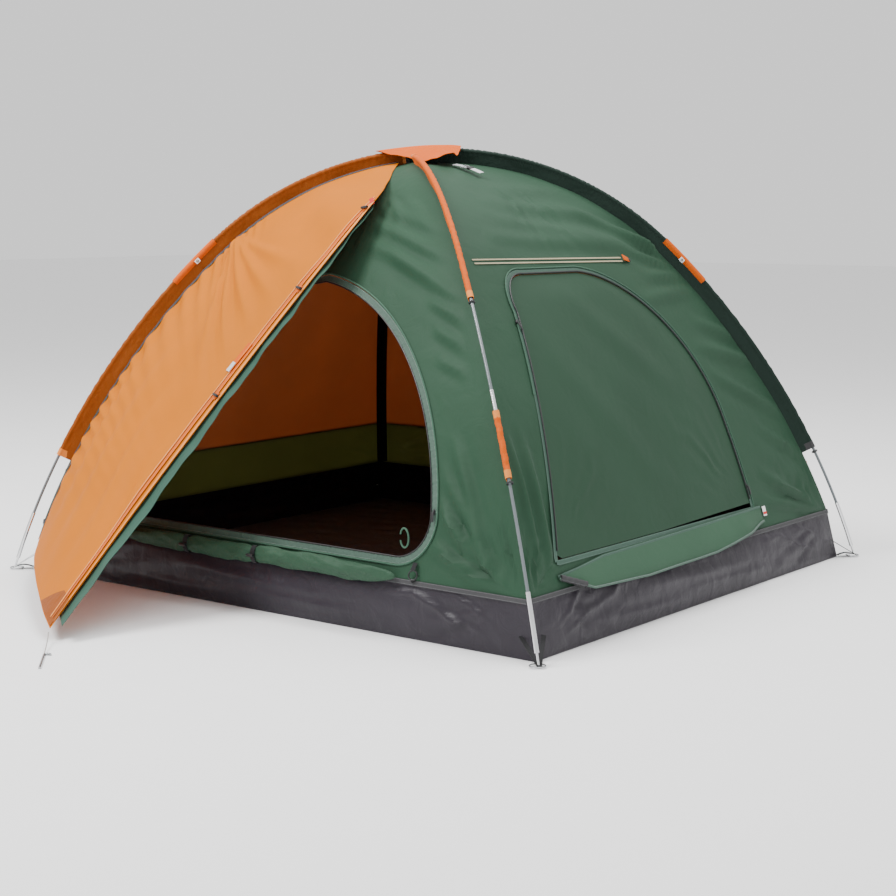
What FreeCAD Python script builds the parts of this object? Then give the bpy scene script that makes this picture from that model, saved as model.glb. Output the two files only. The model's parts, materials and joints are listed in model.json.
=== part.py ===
import FreeCAD, Part
import math
import os
import Sketcher

# Dome tent: two crossing poles in sleeves hold a four-sided canopy over a tub
# floor. The doorway is in the front wall (-Y), a zipped hatch is in the right
# wall (+X), and half of a porch, the wing, is sewn along the front left pole.
# Origin: middle of the groundsheet's underside. +Z is up. Millimetres.

Vector = FreeCAD.Vector
Rotation = FreeCAD.Rotation
Placement = FreeCAD.Placement
X_AXIS, Y_AXIS, Z_AXIS = Vector(1, 0, 0), Vector(0, 1, 0), Vector(0, 0, 1)

SIZES = [
    # overall
    ("floor_width", 2000.0), ("floor_depth", 1800.0), ("peak_height", 1300.0),
    # pole lines: two tangent arcs a side, measured as turns from the crown
    ("crown_turn", 43.9), ("foot_turn", 72.1), ("cross_lean", 4.6),
    # fibreglass poles
    ("pole_radius", 4.25), ("pole_bore", 2.75), ("cord_radius", 1.25),
    ("sections_per_side", 3.0), ("section_gap", 0.4), ("foot_gap", 40.0),
    ("ferrule_length", 100.0), ("ferrule_wall", 0.9), ("fit_clearance", 0.1),
    ("end_sleeve_length", 150.0), ("end_sleeve_wall", 1.6), ("pin_radius", 3.0), ("pin_length", 30.0),
    # cloth
    ("cloth", 2.0), ("seam_gap", 4.0), ("lap_gap", 0.3), ("floor_inset", 42.0), ("tub_height", 150.0),
    ("band_height", 310.0), ("canopy_drop", 38.0), ("crown_opening", 4.5),
    ("patch_radius", 78.0), ("patch_drop", 14.0),
    # pole sleeves
    ("sleeve_bore", 6.2), ("sleeve_wall", 1.5), ("neck_half", 1.6), ("sleeve_lift", 3.0),
    ("crossing_bare", 5.0), ("main_sleeve_end", 63.0), ("upper_sleeve_end", 47.5),
    ("lower_sleeve_start", 56.0), ("lower_sleeve_end", 60.5), ("crossing_gap", 13.5),
    # hub
    ("cap_lift", 13.5), ("cap_cloth", 2.5), ("cap_reach", 215.0), ("cap_side_reach", 85.0),
    ("cap_tip_share", 0.9), ("cap_waist", 0.86),
    ("strap_width", 20.0), ("strap_thickness", 1.5), ("strap_length", 110.0), ("strap_line", -62.0),
    ("strap_start", 95.0), ("strap_lift", 3.0), ("strap_bow", 4.0),
    ("buckle_length", 34.0), ("buckle_width", 26.0), ("buckle_thickness", 7.0), ("loop_radius", 16.0),
    ("loop_wire", 2.0),
    # doorway
    ("arch_radius", 715.0), ("arch_offset", 93.0), ("arch_centre_z", 223.0), ("door_sill", 190.0),
    ("door_corner", 120.0), ("door_tape", 20.0), ("tape_gap", 0.5),
    ("roll_length", 1040.0), ("roll_depth", 34.0), ("roll_height", 60.0), ("roll_standoff", 6.0),
    ("roll_rise", 4.0),
    ("tie_width", 20.0), ("tie_thickness", 1.5), ("first_tie", -250.0), ("second_tie", 17.0),
    ("toggle_radius", 4.5), ("toggle_length", 26.0), ("toggle_lift", 4.0),
    ("hook_radius", 13.0), ("hook_wire", 2.2),
    ("hook_x", 571.0), ("hook_rise", 22.0), ("hook_stand", 8.0), ("hook_lean", 80.0),
    # hatch in the right wall
    ("hatch_sill", 225.0), ("hatch_top", 936.0), ("hatch_front", -690.0), ("hatch_shoulder_y", -425.0),
    ("hatch_shoulder_z", 835.0), ("hatch_top_front", -300.0), ("hatch_top_back", -40.0),
    ("hatch_back", 357.0), ("hatch_back_z", 480.0), ("hatch_gap", 2.0), ("hatch_tape", 12.0),
    ("tape_thickness", 1.0), ("flap_front", -712.0), ("flap_back", 405.0), ("flap_width", 86.0),
    ("flap_drop", 8.0), ("flap_stand", 26.0), ("flap_seam_stand", 4.0), ("flap_end", 0.03),
    ("flap_fullness", 0.75),
    ("tab_width", 22.0), ("tab_height", 34.0), ("tab_thickness", 1.2), ("tab_y", 415.0), ("tab_z", 205.0),
    ("tab_stand", 6.0), ("tab_lean", 12.0),
    # zip sliders and their pulls
    ("slider_width", 9.0), ("slider_length", 14.0), ("slider_height", 4.5), ("slider_lift", 2.4),
    ("pull_width", 7.0), ("pull_length", 28.0), ("pull_thickness", 1.6), ("pull_gap", 0.6),
    ("side_slider_z", 285.0), ("front_slider_z", 335.0), ("front_slider_run", 260.0), ("pull_hole", 7.0),
    # wing
    ("wing_top_turn", 8.0), ("wing_foot_turn", 69.5), ("wing_split", 0.44), ("wing_seam_front", 20.0),
    ("wing_seam_clear", 10.0), ("wing_split_gap", 3.0), ("wing_belly", 28.0),
    ("lining_back", 45.0), ("lining_out", 62.0), ("lining_top_out", 6.0),
    ("lining_gap", 3.0), ("wing_hinge_turn", 57.0), ("wing_hinge_clear", 4.0),
    ("wing_toggle_inset", 14.0),
    # pegging of the wing
    ("tip_cord_radius", 1.4), ("peg_radius", 3.0), ("peg_length", 130.0), ("peg_hook", 8.0),
    # corners
    ("ring_radius", 20.0), ("ring_wire", 1.75), ("webbing_width", 14.0), ("webbing_thickness", 1.2),
    ("webbing_eye", 3.4), ("webbing_gap", 4.0),
    # tabs over the sleeves for guy lines
    ("guy_tab_turn", 45.5), ("guy_tab_span", 4.6), ("guy_tab_wall", 1.4),
]

# free edge of the wing, as the control points of one cubic curve, hub to tip
WING_EDGE = [(95, -409, 1166), (133, -850, 850), (-233, -770, 569), (-170, -1450, 34)]
# tip cord, from the wing's tip to the peg's hook
TIP_CORD = [(-164, -1459, 26), (-116, -1504, 12), (-69, -1552, 4.5)]

PANEL_STEPS = 12
WING_STEPS = 8
QUARTER = math.sqrt(0.5)

doc = FreeCAD.newDocument("dome_tent")
sheet = doc.addObject("Spreadsheet::Sheet", "sizes")
for row, (alias, value) in enumerate(SIZES, start=1):
    sheet.set("A%d" % row, alias)
    sheet.set("B%d" % row, str(value))
    sheet.setAlias("B%d" % row, alias)
doc.recompute()

nodes = []


def size(alias):
    return float(getattr(sheet, alias))


def bind(obj, **expressions):
    """Tie an object's properties to the sheet."""
    for prop, expression in expressions.items():
        obj.setExpression(prop, expression)
    return obj


def node(obj, label):
    """Name a sub-part's object, and list it for export."""
    obj.Label = label
    nodes.append(obj)
    return obj


def cloth_node(label, shape, placement=None):
    """A sub-part that follows a curve of the canopy or of a pole."""
    obj = doc.addObject("Part::Feature", label)
    obj.Shape = shape
    if placement is not None:
        obj.Placement = placement
    return node(obj, label)


# ---------------------------------------------------------------- pole lines

class PoleLine:
    """A pole's centre line: a crown arc and two flank arcs, in a plane that may lean."""

    def __init__(self, foot, height, lean):
        self.span = foot.Length
        self.along = Vector(foot).normalize()
        normal = Vector(-self.along.y, self.along.x, 0)
        if normal.x > 0:
            normal = normal * -1
        self.up = normal * math.sin(lean) + Z_AXIS * math.cos(lean)
        self.across = self.up.cross(self.along)
        self.height = height
        self.crown = math.radians(size("crown_turn"))
        self.foot = math.radians(size("foot_turn"))
        sin_c, cos_c = math.sin(self.crown), math.cos(self.crown)
        sin_f, cos_f = math.sin(self.foot), math.cos(self.foot)
        scale = sin_c * (cos_c - cos_f) - (1 - cos_c) * (sin_f - sin_c)
        self.crown_bend = (self.span * (cos_c - cos_f) - height * (sin_f - sin_c)) / scale
        self.flank_bend = (height * sin_c - self.span * (1 - cos_c)) / scale
        self.crown_centre = Vector(0, 0, height - self.crown_bend)
        step = self.crown_bend - self.flank_bend
        self.flank_centre = self.crown_centre + Vector(step * sin_c, 0, step * cos_c)
        self.crown_arc = self.crown_bend * self.crown
        self.side_arc = self.crown_arc + self.flank_bend * (self.foot - self.crown)

    def placement(self):
        """Where the pole's own plane lies."""
        a, b, c = self.along, self.across, self.up
        matrix = FreeCAD.Matrix(a.x, b.x, c.x, 0, a.y, b.y, c.y, 0, a.z, b.z, c.z, 0, 0, 0, 0, 1)
        return Placement(matrix)

    def point(self, side, turn, offset=0.0, across=0.0):
        """Point at a turn from the crown, lifted off the line and moved across the plane."""
        if turn < self.crown:
            centre, bend = self.crown_centre, self.crown_bend
        else:
            centre, bend = self.flank_centre, self.flank_bend
        reach = centre.x + (bend + offset) * math.sin(turn)
        rise = centre.z + (bend + offset) * math.cos(turn)
        return self.along * (side * reach) + self.up * rise + self.across * across

    def turn_at_length(self, length):
        if length < self.crown_arc:
            return length / self.crown_bend
        return self.crown + (length - self.crown_arc) / self.flank_bend

    def turn_at_height(self, height, offset):
        """Turn at which the offset line has come down to a height."""
        low, high = 0.0, self.foot + 0.2
        for _ in range(60):
            middle = (low + high) / 2
            if self.point(1, middle, offset).z > height:
                low = middle
            else:
                high = middle
        return low

    def sweep(self, side, start, end, section):
        """Solid of a section turned along the line; section(centre, bend, turn) gives its face."""
        solid = None
        arcs = [(self.crown_centre, self.crown_bend, 0.0, self.crown),
                (self.flank_centre, self.flank_bend, self.crown, self.foot + 0.2)]
        for centre, bend, first, last in arcs:
            low, high = max(start, first), min(end, last)
            if high - low < 1e-6:
                continue
            piece = section(centre, bend, low).revolve(centre, Y_AXIS, math.degrees(high - low))
            solid = piece if solid is None else solid.fuse(piece).removeSplitter()
        return solid if side > 0 else solid.mirror(Vector(0, 0, 0), X_AXIS)

    def tube(self, side, start, end, outer, bore=0.0):
        """Tube along the line between two turns."""
        def section(centre, bend, turn):
            middle = centre + Vector(bend * math.sin(turn), 0, bend * math.cos(turn))
            direction = Vector(math.cos(turn), 0, -math.sin(turn))
            face = Part.Face(Part.Wire(Part.makeCircle(outer, middle, direction)))
            if bore:
                face = face.cut(Part.Face(Part.Wire(Part.makeCircle(bore, middle, direction))))
            return face
        return self.sweep(side, start, end, section)

    def profile(self, side, start, end, outline):
        """Solid of an outline (lift, across) with round or straight edges, along the line."""
        def section(centre, bend, turn):
            out = Vector(math.sin(turn), 0, math.cos(turn))
            def at(pair):
                return centre + out * (bend + pair[0]) + Y_AXIS * pair[1]
            faces = []
            for loop in outline:
                edges = []
                for edge in loop:
                    spots = [at(pair) for pair in edge]
                    if len(spots) == 3:
                        edges.append(Part.Arc(*spots).toShape())
                    else:
                        edges.append(Part.LineSegment(*spots).toShape())
                faces.append(Part.Face(Part.Wire(edges)))
            face = faces[0]
            for hole in faces[1:]:
                face = face.cut(hole)
            return face
        return self.sweep(side, start, end, section)


half_width, half_depth = size("floor_width") / 2, size("floor_depth") / 2
lean = math.radians(size("cross_lean"))
main_pole = PoleLine(Vector(half_width, half_depth, 0), size("peak_height"), 0.0)
# the cross pole passes under the main one, a little to the front left of its crown
crossing_turn = size("peak_height") * math.sin(lean) / main_pole.crown_bend
crossing_height = main_pole.point(-1, crossing_turn).z - size("crossing_gap")
cross_pole = PoleLine(Vector(half_width, -half_depth, 0), crossing_height / math.cos(lean), lean)
hub = cross_pole.point(1, 0.0)
main_drop = -size("canopy_drop")
cross_drop = main_pole.point(1, 0.0, main_drop).z - crossing_height


# ---------------------------------------------------------------- canopy seams

class CornerSeam:
    """Line where two walls meet, inside one half of a pole."""

    def __init__(self, pole, side, drop):
        self.pole, self.side, self.drop = pole, side, drop

    def at_height(self, height):
        return self.pole.point(self.side, self.pole.turn_at_height(height, self.drop), self.drop)

    def at_turn(self, turn):
        return self.pole.point(self.side, turn, self.drop)


front_left = CornerSeam(main_pole, -1, main_drop)
back_right = CornerSeam(main_pole, 1, main_drop)
front_right = CornerSeam(cross_pole, 1, cross_drop)
back_left = CornerSeam(cross_pole, -1, cross_drop)


def cloth_solid(rows, thickness):
    """Closed sheet through rows of points, each row with its inward direction last."""
    wires = []
    for row in rows:
        outer, depth = list(row[:-1]), row[-1] * thickness
        inner = [spot + depth for spot in reversed(outer)]
        wires.append(Part.makePolygon(outer + inner + outer[:1]))
    return Part.makeLoft(wires, True, True)


def wall_rows(seam_a, seam_b, top, bottom, outward_shift=0.0):
    """Rows of a wall between two seams, from one height (or the crown) to another."""
    first_a = math.radians(size("crown_opening"))
    first_b = first_a
    if top is not None:
        first_a = seam_a.pole.turn_at_height(top, seam_a.drop)
        first_b = seam_b.pole.turn_at_height(top, seam_b.drop)
    last_a = seam_a.pole.turn_at_height(bottom, seam_a.drop)
    last_b = seam_b.pole.turn_at_height(bottom, seam_b.drop)
    pairs = []
    for step in range(PANEL_STEPS + 1):
        share = step / PANEL_STEPS
        a = seam_a.at_turn(first_a + (last_a - first_a) * share)
        b = seam_b.at_turn(first_b + (last_b - first_b) * share)
        pairs.append((a, b))
    rows = []
    for step, (a, b) in enumerate(pairs):
        before = pairs[max(step - 1, 0)]
        after = pairs[min(step + 1, PANEL_STEPS)]
        down = (after[0] + after[1]) - (before[0] + before[1])
        along = Vector(b - a).normalize()
        inward = along.cross(down).normalize()
        if inward.z > 0:
            inward = inward * -1
        shift = inward * -outward_shift
        inset = along * size("seam_gap")
        rows.append((a + inset + shift, b - inset + shift, inward))
    return rows


def wall_point(seam_a, seam_b, height, axis, value):
    """Point of a wall's outer face at a height and at a value along X or Y."""
    a, b = seam_a.at_height(height), seam_b.at_height(height)
    share = (value - a[axis]) / (b[axis] - a[axis])
    return a + (b - a) * share


def arch_wire(spots, plane):
    """Closed wire through (across, height) edges, in the XZ plane (0) or the YZ plane (1)."""
    def at(pair):
        return Vector(pair[0], 0, pair[1]) if plane == 0 else Vector(0, pair[0], pair[1])
    edges = []
    for edge in spots:
        points = [at(pair) for pair in edge]
        shape = Part.Arc(*points) if len(points) == 3 else Part.LineSegment(*points)
        edges.append(shape.toShape())
    return Part.Wire(edges)


def outline_prism(wire, offset, plane):
    """Prism across one half of the tent, from an outline made larger or smaller."""
    grown = wire.makeOffset2D(offset) if offset else wire
    face = Part.Face(grown)
    if plane == 0:
        return face.extrude(Vector(0, -size("floor_depth"), 0))
    return face.extrude(Vector(size("floor_width"), 0, 0))


# doorway: a pointed arch of two arcs on a straight sill with round corners
def doorway_edges():
    radius, offset = size("arch_radius"), size("arch_offset")
    centre_z, sill, corner = size("arch_centre_z"), size("door_sill"), size("door_corner")
    rise = sill + corner - centre_z
    run = math.sqrt((radius - corner) ** 2 - rise ** 2)
    low_x = run - offset
    unit = (run / (radius - corner), rise / (radius - corner))
    join = (radius * unit[0] - offset, centre_z + radius * unit[1])
    peak = (0.0, centre_z + math.sqrt(radius ** 2 - offset ** 2))
    side_turn = (math.atan2(unit[1], unit[0]) + math.atan2(peak[1] - centre_z, offset)) / 2
    side = (radius * math.cos(side_turn) - offset, centre_z + radius * math.sin(side_turn))
    bend_turn = (math.atan2(unit[1], unit[0]) - math.pi / 2) / 2
    bend = (low_x + corner * math.cos(bend_turn), sill + corner + corner * math.sin(bend_turn))
    right = [((low_x, sill), bend, join), (join, side, peak)]
    left = [tuple((-x, z) for x, z in reversed(edge)) for edge in reversed(right)]
    return right + left + [((-low_x, sill), (low_x, sill))]


# hatch: straight sill, raked front edge, round shoulders and a bowed back edge
def hatch_edges():
    sill, top = size("hatch_sill"), size("hatch_top")
    shoulder = (size("hatch_shoulder_y"), size("hatch_shoulder_z"))
    top_front, top_back = (size("hatch_top_front"), top), (size("hatch_top_back"), top)
    back = (size("hatch_back"), size("hatch_back_z"))
    front_bow = (top_front[0] + (shoulder[0] - top_front[0]) * QUARTER,
                 shoulder[1] + (top - shoulder[1]) * QUARTER)
    back_bow = (top_back[0] + (back[0] - top_back[0]) * QUARTER,
                back[1] + (top - back[1]) * QUARTER)
    foot_front, foot_back = (size("hatch_front"), sill), (back[0], sill)
    return [(foot_front, shoulder), (shoulder, front_bow, top_front), (top_front, top_back),
            (top_back, back_bow, back), (back, foot_back), (foot_back, foot_front)]


doorway = arch_wire(doorway_edges(), 0)
hatch = arch_wire(hatch_edges(), 1)


# ---------------------------------------------------------------- tub floor

def origin_plane(body, role):
    return [plane for plane in body.Origin.OriginFeatures if plane.Role == role][0]


def new_sketch(body, name, role):
    sketch = body.newObject("Sketcher::SketchObject", name)
    sketch.AttachmentSupport = [(origin_plane(body, role), "")]
    sketch.MapMode = "FlatFace"
    return sketch


def add_rectangle(sketch, width, height, centre=("0", "0")):
    """Rectangle about a centre, with its four sides bound to expressions."""
    corners = [(-5, -5), (5, -5), (5, 5), (-5, 5)]
    first = sketch.GeometryCount
    for index, start in enumerate(corners):
        end = corners[(index + 1) % 4]
        line = Part.LineSegment(Vector(start[0], start[1], 0), Vector(end[0], end[1], 0))
        sketch.addGeometry(line, False)
    for index in range(4):
        following = first + (index + 1) % 4
        sketch.addConstraint(Sketcher.Constraint("Coincident", first + index, 2, following, 1))
    for index in (0, 2):
        sketch.addConstraint(Sketcher.Constraint("Horizontal", first + index))
    for index in (1, 3):
        sketch.addConstraint(Sketcher.Constraint("Vertical", first + index))
    limits = [("DistanceX", first, "(%s) - (%s) / 2" % (centre[0], width), -5.0),
              ("DistanceY", first, "(%s) - (%s) / 2" % (centre[1], height), -5.0)]
    for kind, line, expression, value in limits:
        added = sketch.addConstraint(Sketcher.Constraint(kind, -1, 1, line, 1, value))
        sketch.setExpression("Constraints[%d]" % added, expression)
    spans = [("DistanceX", first, width), ("DistanceY", first + 1, height)]
    for kind, line, expression in spans:
        added = sketch.addConstraint(Sketcher.Constraint(kind, line, 1, line, 2, 10.0))
        sketch.setExpression("Constraints[%d]" % added, expression)


def add_circle(sketch, radius, centre=("0", "0")):
    """Circle with its radius and centre bound to expressions."""
    circle = sketch.addGeometry(Part.Circle(Vector(1, 1, 0), Z_AXIS, 5.0), False)
    added = sketch.addConstraint(Sketcher.Constraint("Radius", circle, 5.0))
    sketch.setExpression("Constraints[%d]" % added, radius)
    for kind, expression in (("DistanceX", centre[0]), ("DistanceY", centre[1])):
        added = sketch.addConstraint(Sketcher.Constraint(kind, -1, 1, circle, 3, 1.0))
        sketch.setExpression("Constraints[%d]" % added, expression)


def add_pad(body, sketch, name, length, midplane=False):
    pad = body.newObject("PartDesign::Pad", name)
    pad.Profile = sketch
    pad.Midplane = midplane
    pad.setExpression("Length", length)
    sketch.Visibility = False
    return pad


groundsheet = doc.addObject("PartDesign::Body", "groundsheet")
ground_sketch = new_sketch(groundsheet, "ground_outline", "XY_Plane")
add_rectangle(ground_sketch, "sizes.floor_width - 2 * sizes.floor_inset",
              "sizes.floor_depth - 2 * sizes.floor_inset")
add_pad(groundsheet, ground_sketch, "ground_cloth", "sizes.cloth")
node(groundsheet, "groundsheet")


def tub_wall(label, seam_a, seam_b, sign_a, sign_b):
    """Side of the tub, from the groundsheet's edge up to the canopy's lower edge."""
    inset, cloth = size("floor_inset"), size("cloth")
    foot = cloth + size("lap_gap")
    low_a = Vector(sign_a[0] * (half_width - inset), sign_a[1] * (half_depth - inset), foot)
    low_b = Vector(sign_b[0] * (half_width - inset), sign_b[1] * (half_depth - inset), foot)
    high_a, high_b = seam_a.at_height(size("tub_height")), seam_b.at_height(size("tub_height"))
    along = Vector(low_b - low_a).normalize()
    step = along * size("seam_gap")
    inward = Z_AXIS.cross(along)
    if inward.dot(low_a + low_b) > 0:
        inward = inward * -1
    # the top edge isn't quite parallel to the foot, so the wall is two flat triangles
    corners = [low_a + step, low_b - step, high_b - step, high_a + step]
    halves = [Part.Face(Part.makePolygon([corners[index] for index in loop])).extrude(inward * cloth)
              for loop in ((0, 1, 2, 0), (0, 2, 3, 0))]
    cloth_node(label, halves[0].fuse(halves[1]))


tub_wall("tub_wall_front", front_left, front_right, (-1, -1), (1, -1))
tub_wall("tub_wall_right", front_right, back_right, (1, -1), (1, 1))
tub_wall("tub_wall_back", back_left, back_right, (-1, 1), (1, 1))
tub_wall("tub_wall_left", front_left, back_left, (-1, -1), (-1, 1))

# ---------------------------------------------------------------- canopy walls

canopy_foot = size("tub_height") + size("lap_gap") + size("cloth")
front_rows = wall_rows(front_left, front_right, None, canopy_foot)
right_rows = wall_rows(front_right, back_right, None, canopy_foot)
front_sheet = cloth_solid(front_rows, size("cloth"))
right_sheet = cloth_solid(right_rows, size("cloth"))

cloth_node("front_wall", front_sheet.cut(outline_prism(doorway, 0.0, 0)))
cloth_node("right_wall", right_sheet.cut(outline_prism(hatch, 0.0, 1)))
cloth_node("hatch_panel", right_sheet.common(outline_prism(hatch, -size("hatch_gap"), 1)))


def split_wall(label, band_label, seam_a, seam_b):
    """Wall in two colours of cloth, with a band along its foot."""
    split = size("band_height")
    upper = wall_rows(seam_a, seam_b, None, split + size("lap_gap"))
    cloth_node(label, cloth_solid(upper, size("cloth")))
    band = wall_rows(seam_a, seam_b, split, canopy_foot)
    cloth_node(band_label, cloth_solid(band, size("cloth")))


split_wall("back_wall", "back_band", back_left, back_right)
split_wall("left_wall", "left_band", front_left, back_left)

crown_patch = doc.addObject("Part::Cylinder", "crown_patch")
bind(crown_patch, Radius="sizes.patch_radius", Height="sizes.cloth")
patch_turn = math.radians(size("crown_opening"))
patch_z = min(seam.at_turn(patch_turn).z for seam in (front_left, front_right, back_left, back_right))
patch_spot = Vector(hub.x / 2, hub.y / 2, patch_z - size("cloth") - size("patch_drop"))
crown_patch.Placement = Placement(patch_spot, Rotation())
node(crown_patch, "crown_patch")

lantern_loop = doc.addObject("Part::Torus", "lantern_loop")
bind(lantern_loop, Radius1="sizes.loop_radius", Radius2="sizes.loop_wire")
loop_spot = patch_spot - Z_AXIS * (size("loop_radius") + size("loop_wire") + size("lap_gap"))
lantern_loop.Placement = Placement(loop_spot, Rotation(X_AXIS, 90))
node(lantern_loop, "lantern_loop")

# ---------------------------------------------------------------- sleeves

def sleeve_outline(drop):
    """Round casing about the pole, drawn in to a seam just above the canopy."""
    bore, outer = size("sleeve_bore"), size("sleeve_bore") + size("sleeve_wall")
    neck, depth = size("neck_half"), drop + size("sleeve_lift")
    wide, low = outer * math.cos(math.radians(20)), -outer * math.sin(math.radians(20))
    casing = [((low, wide), (outer, 0), (low, -wide)), ((low, -wide), (depth, -neck)),
              ((depth, -neck), (depth, neck)), ((depth, neck), (low, wide))]
    hole = [((0, bore), (bore, 0), (0, -bore)), ((0, -bore), (-bore, 0), (0, bore))]
    return [casing, hole]


def sleeve(label, pole, side, start, end, drop):
    shape = pole.profile(side, math.radians(start), math.radians(end), sleeve_outline(drop))
    cloth_node(label, shape, pole.placement())


bare = size("crossing_bare")
main_bare = math.degrees(crossing_turn) + bare
sleeve("main_sleeve_left", main_pole, -1, main_bare, size("main_sleeve_end"), main_drop)
sleeve("main_sleeve_right", main_pole, 1, bare / 2, size("main_sleeve_end"), main_drop)
for name, side in (("front", 1), ("back", -1)):
    sleeve("cross_sleeve_%s_upper" % name, cross_pole, side, bare, size("upper_sleeve_end"), cross_drop)
    sleeve("cross_sleeve_%s_lower" % name, cross_pole, side, size("lower_sleeve_start"),
           size("lower_sleeve_end"), cross_drop)

# ---------------------------------------------------------------- poles

def pole_set(name, pole):
    """Sections from foot to foot, numbered from the front."""
    count = int(size("sections_per_side"))
    run = (pole.side_arc - size("foot_gap")) / count
    gap = size("section_gap") / 2
    order = [(-1, part) for part in reversed(range(count))] + [(1, part) for part in range(count)]
    if pole is cross_pole:
        order = [(-side, part) for side, part in order]
    for number, (side, part) in enumerate(order, start=1):
        start = pole.turn_at_length(part * run + gap)
        end = pole.turn_at_length((part + 1) * run - gap)
        shape = pole.tube(side, start, end, size("pole_radius"), size("pole_bore"))
        cloth_node("%s_section_%d" % (name, number), shape, pole.placement())


def placed(shape, pole):
    copy = shape.copy()
    copy.Placement = pole.placement().multiply(copy.Placement)
    return copy


def ferrule_shapes(pole):
    """Tubes over the joints between sections."""
    count = int(size("sections_per_side"))
    run = (pole.side_arc - size("foot_gap")) / count
    half = size("ferrule_length") / 2
    bore = size("pole_radius") + size("fit_clearance")
    outer = bore + size("ferrule_wall")
    crown_end = pole.turn_at_length(half)
    right = pole.tube(1, 0.0, crown_end, outer, bore)
    shapes = [right.fuse(pole.tube(-1, 0.0, crown_end, outer, bore)).removeSplitter()]
    for part in range(1, count):
        for side in (-1, 1):
            start = pole.turn_at_length(part * run - half)
            end = pole.turn_at_length(part * run + half)
            shapes.append(pole.tube(side, start, end, outer, bore))
    return [placed(shape, pole) for shape in shapes]


def end_sleeve_shapes(pole):
    """Metal tube over each end of a pole, with a pin that stands in the corner ring."""
    bore = size("pole_radius") + size("fit_clearance")
    outer = bore + size("end_sleeve_wall")
    foot = pole.side_arc - size("foot_gap")
    start = pole.turn_at_length(foot - size("end_sleeve_length"))
    end = pole.turn_at_length(foot + size("section_gap"))
    last = pole.turn_at_length(foot + size("section_gap") + size("end_sleeve_wall"))
    shapes = []
    for side in (-1, 1):
        tube = pole.tube(side, start, end, outer, bore)
        plug = pole.tube(side, end, last, outer)
        tip = pole.flank_centre + Vector(math.sin(last), 0, math.cos(last)) * pole.flank_bend
        direction = Vector(math.cos(last), 0, -math.sin(last))
        pin = Part.makeCylinder(size("pin_radius"), size("pin_length"), tip, direction)
        if side < 0:
            pin = pin.mirror(Vector(0, 0, 0), X_AXIS)
        shapes.append(tube.fuse([plug, pin]).removeSplitter())
    return [placed(shape, pole) for shape in shapes]


def shock_cord_shape(pole):
    """Elastic cord through the whole pole."""
    end = pole.turn_at_length(pole.side_arc - size("foot_gap") - size("section_gap"))
    halves = [pole.tube(side, 0.0, end, size("cord_radius")) for side in (-1, 1)]
    return placed(halves[0].fuse(halves[1]).removeSplitter(), pole)


poles = (main_pole, cross_pole)
pole_set("main_pole", main_pole)
pole_set("cross_pole", cross_pole)
cloth_node("pole_ferrules", Part.makeCompound([shape for pole in poles for shape in ferrule_shapes(pole)]))
cloth_node("pole_end_sleeves", Part.makeCompound([s for pole in poles for s in end_sleeve_shapes(pole)]))
cloth_node("shock_cords", Part.makeCompound([shock_cord_shape(pole) for pole in poles]))

# ---------------------------------------------------------------- hub

def hub_cap_shape():
    """Leaf of stout cloth stretched over the crossing, as a slice of a thin ball."""
    inner = main_pole.crown_bend + size("cap_lift")
    centre = main_pole.crown_centre
    ball = Part.makeSphere(inner + size("cap_cloth"), centre).cut(Part.makeSphere(inner, centre))
    reach, side_reach = size("cap_reach") / 2, size("cap_side_reach") / 2
    middle = Vector(hub.x / 2, hub.y / 2, 0)
    along = cross_pole.along
    across = main_pole.along
    tip_reach = reach * size("cap_tip_share")
    tips = [middle + along * tip_reach, middle + across * side_reach,
            middle - along * tip_reach, middle - across * reach]
    edges = []
    for index, start in enumerate(tips):
        end = tips[(index + 1) % 4]
        half = middle + ((start + end) / 2 - middle) * size("cap_waist")
        edges.append(Part.Arc(start, half, end).toShape())
    leaf = Part.Face(Part.Wire(edges)).extrude(Vector(0, 0, 2 * size("peak_height")))
    return ball.common(leaf)


cloth_node("hub_cap", hub_cap_shape())

# elastic strap and side-release buckle beside the hub


def right_wall_x(height):
    return wall_point(front_right, back_right, height, 1, 0.0).x


def height_on_right_wall(reach):
    """Height at which the right wall has come out to a reach."""
    low, high = size("tub_height"), back_right.at_turn(math.radians(size("crown_opening"))).z
    for _ in range(50):
        middle = (low + high) / 2
        if right_wall_x(middle) > reach:
            low = middle
        else:
            high = middle
    return low


def strap_spot(reach):
    """Point just above the right wall, on the strap's line."""
    return Vector(reach, size("strap_line"), height_on_right_wall(reach) + size("strap_lift"))


strap_a = strap_spot(size("strap_start"))
strap_b = strap_spot(size("strap_start") + size("strap_length"))
strap_slope = math.degrees(math.atan2(strap_a.z - strap_b.z, strap_b.x - strap_a.x))
# the wall bows up between the strap's ends, so the strap stands clear of that bow
strap_seat = strap_a + Z_AXIS * size("strap_bow")

hub_strap = doc.addObject("PartDesign::Body", "hub_strap")
strap_sketch = new_sketch(hub_strap, "strap_outline", "XY_Plane")
add_rectangle(strap_sketch, "sizes.strap_length", "sizes.strap_width", ("sizes.strap_length / 2", "0"))
add_pad(hub_strap, strap_sketch, "strap_cloth", "sizes.strap_thickness")
hub_strap.Placement = Placement(strap_seat, Rotation(Y_AXIS, strap_slope))
node(hub_strap, "hub_strap")

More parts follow.
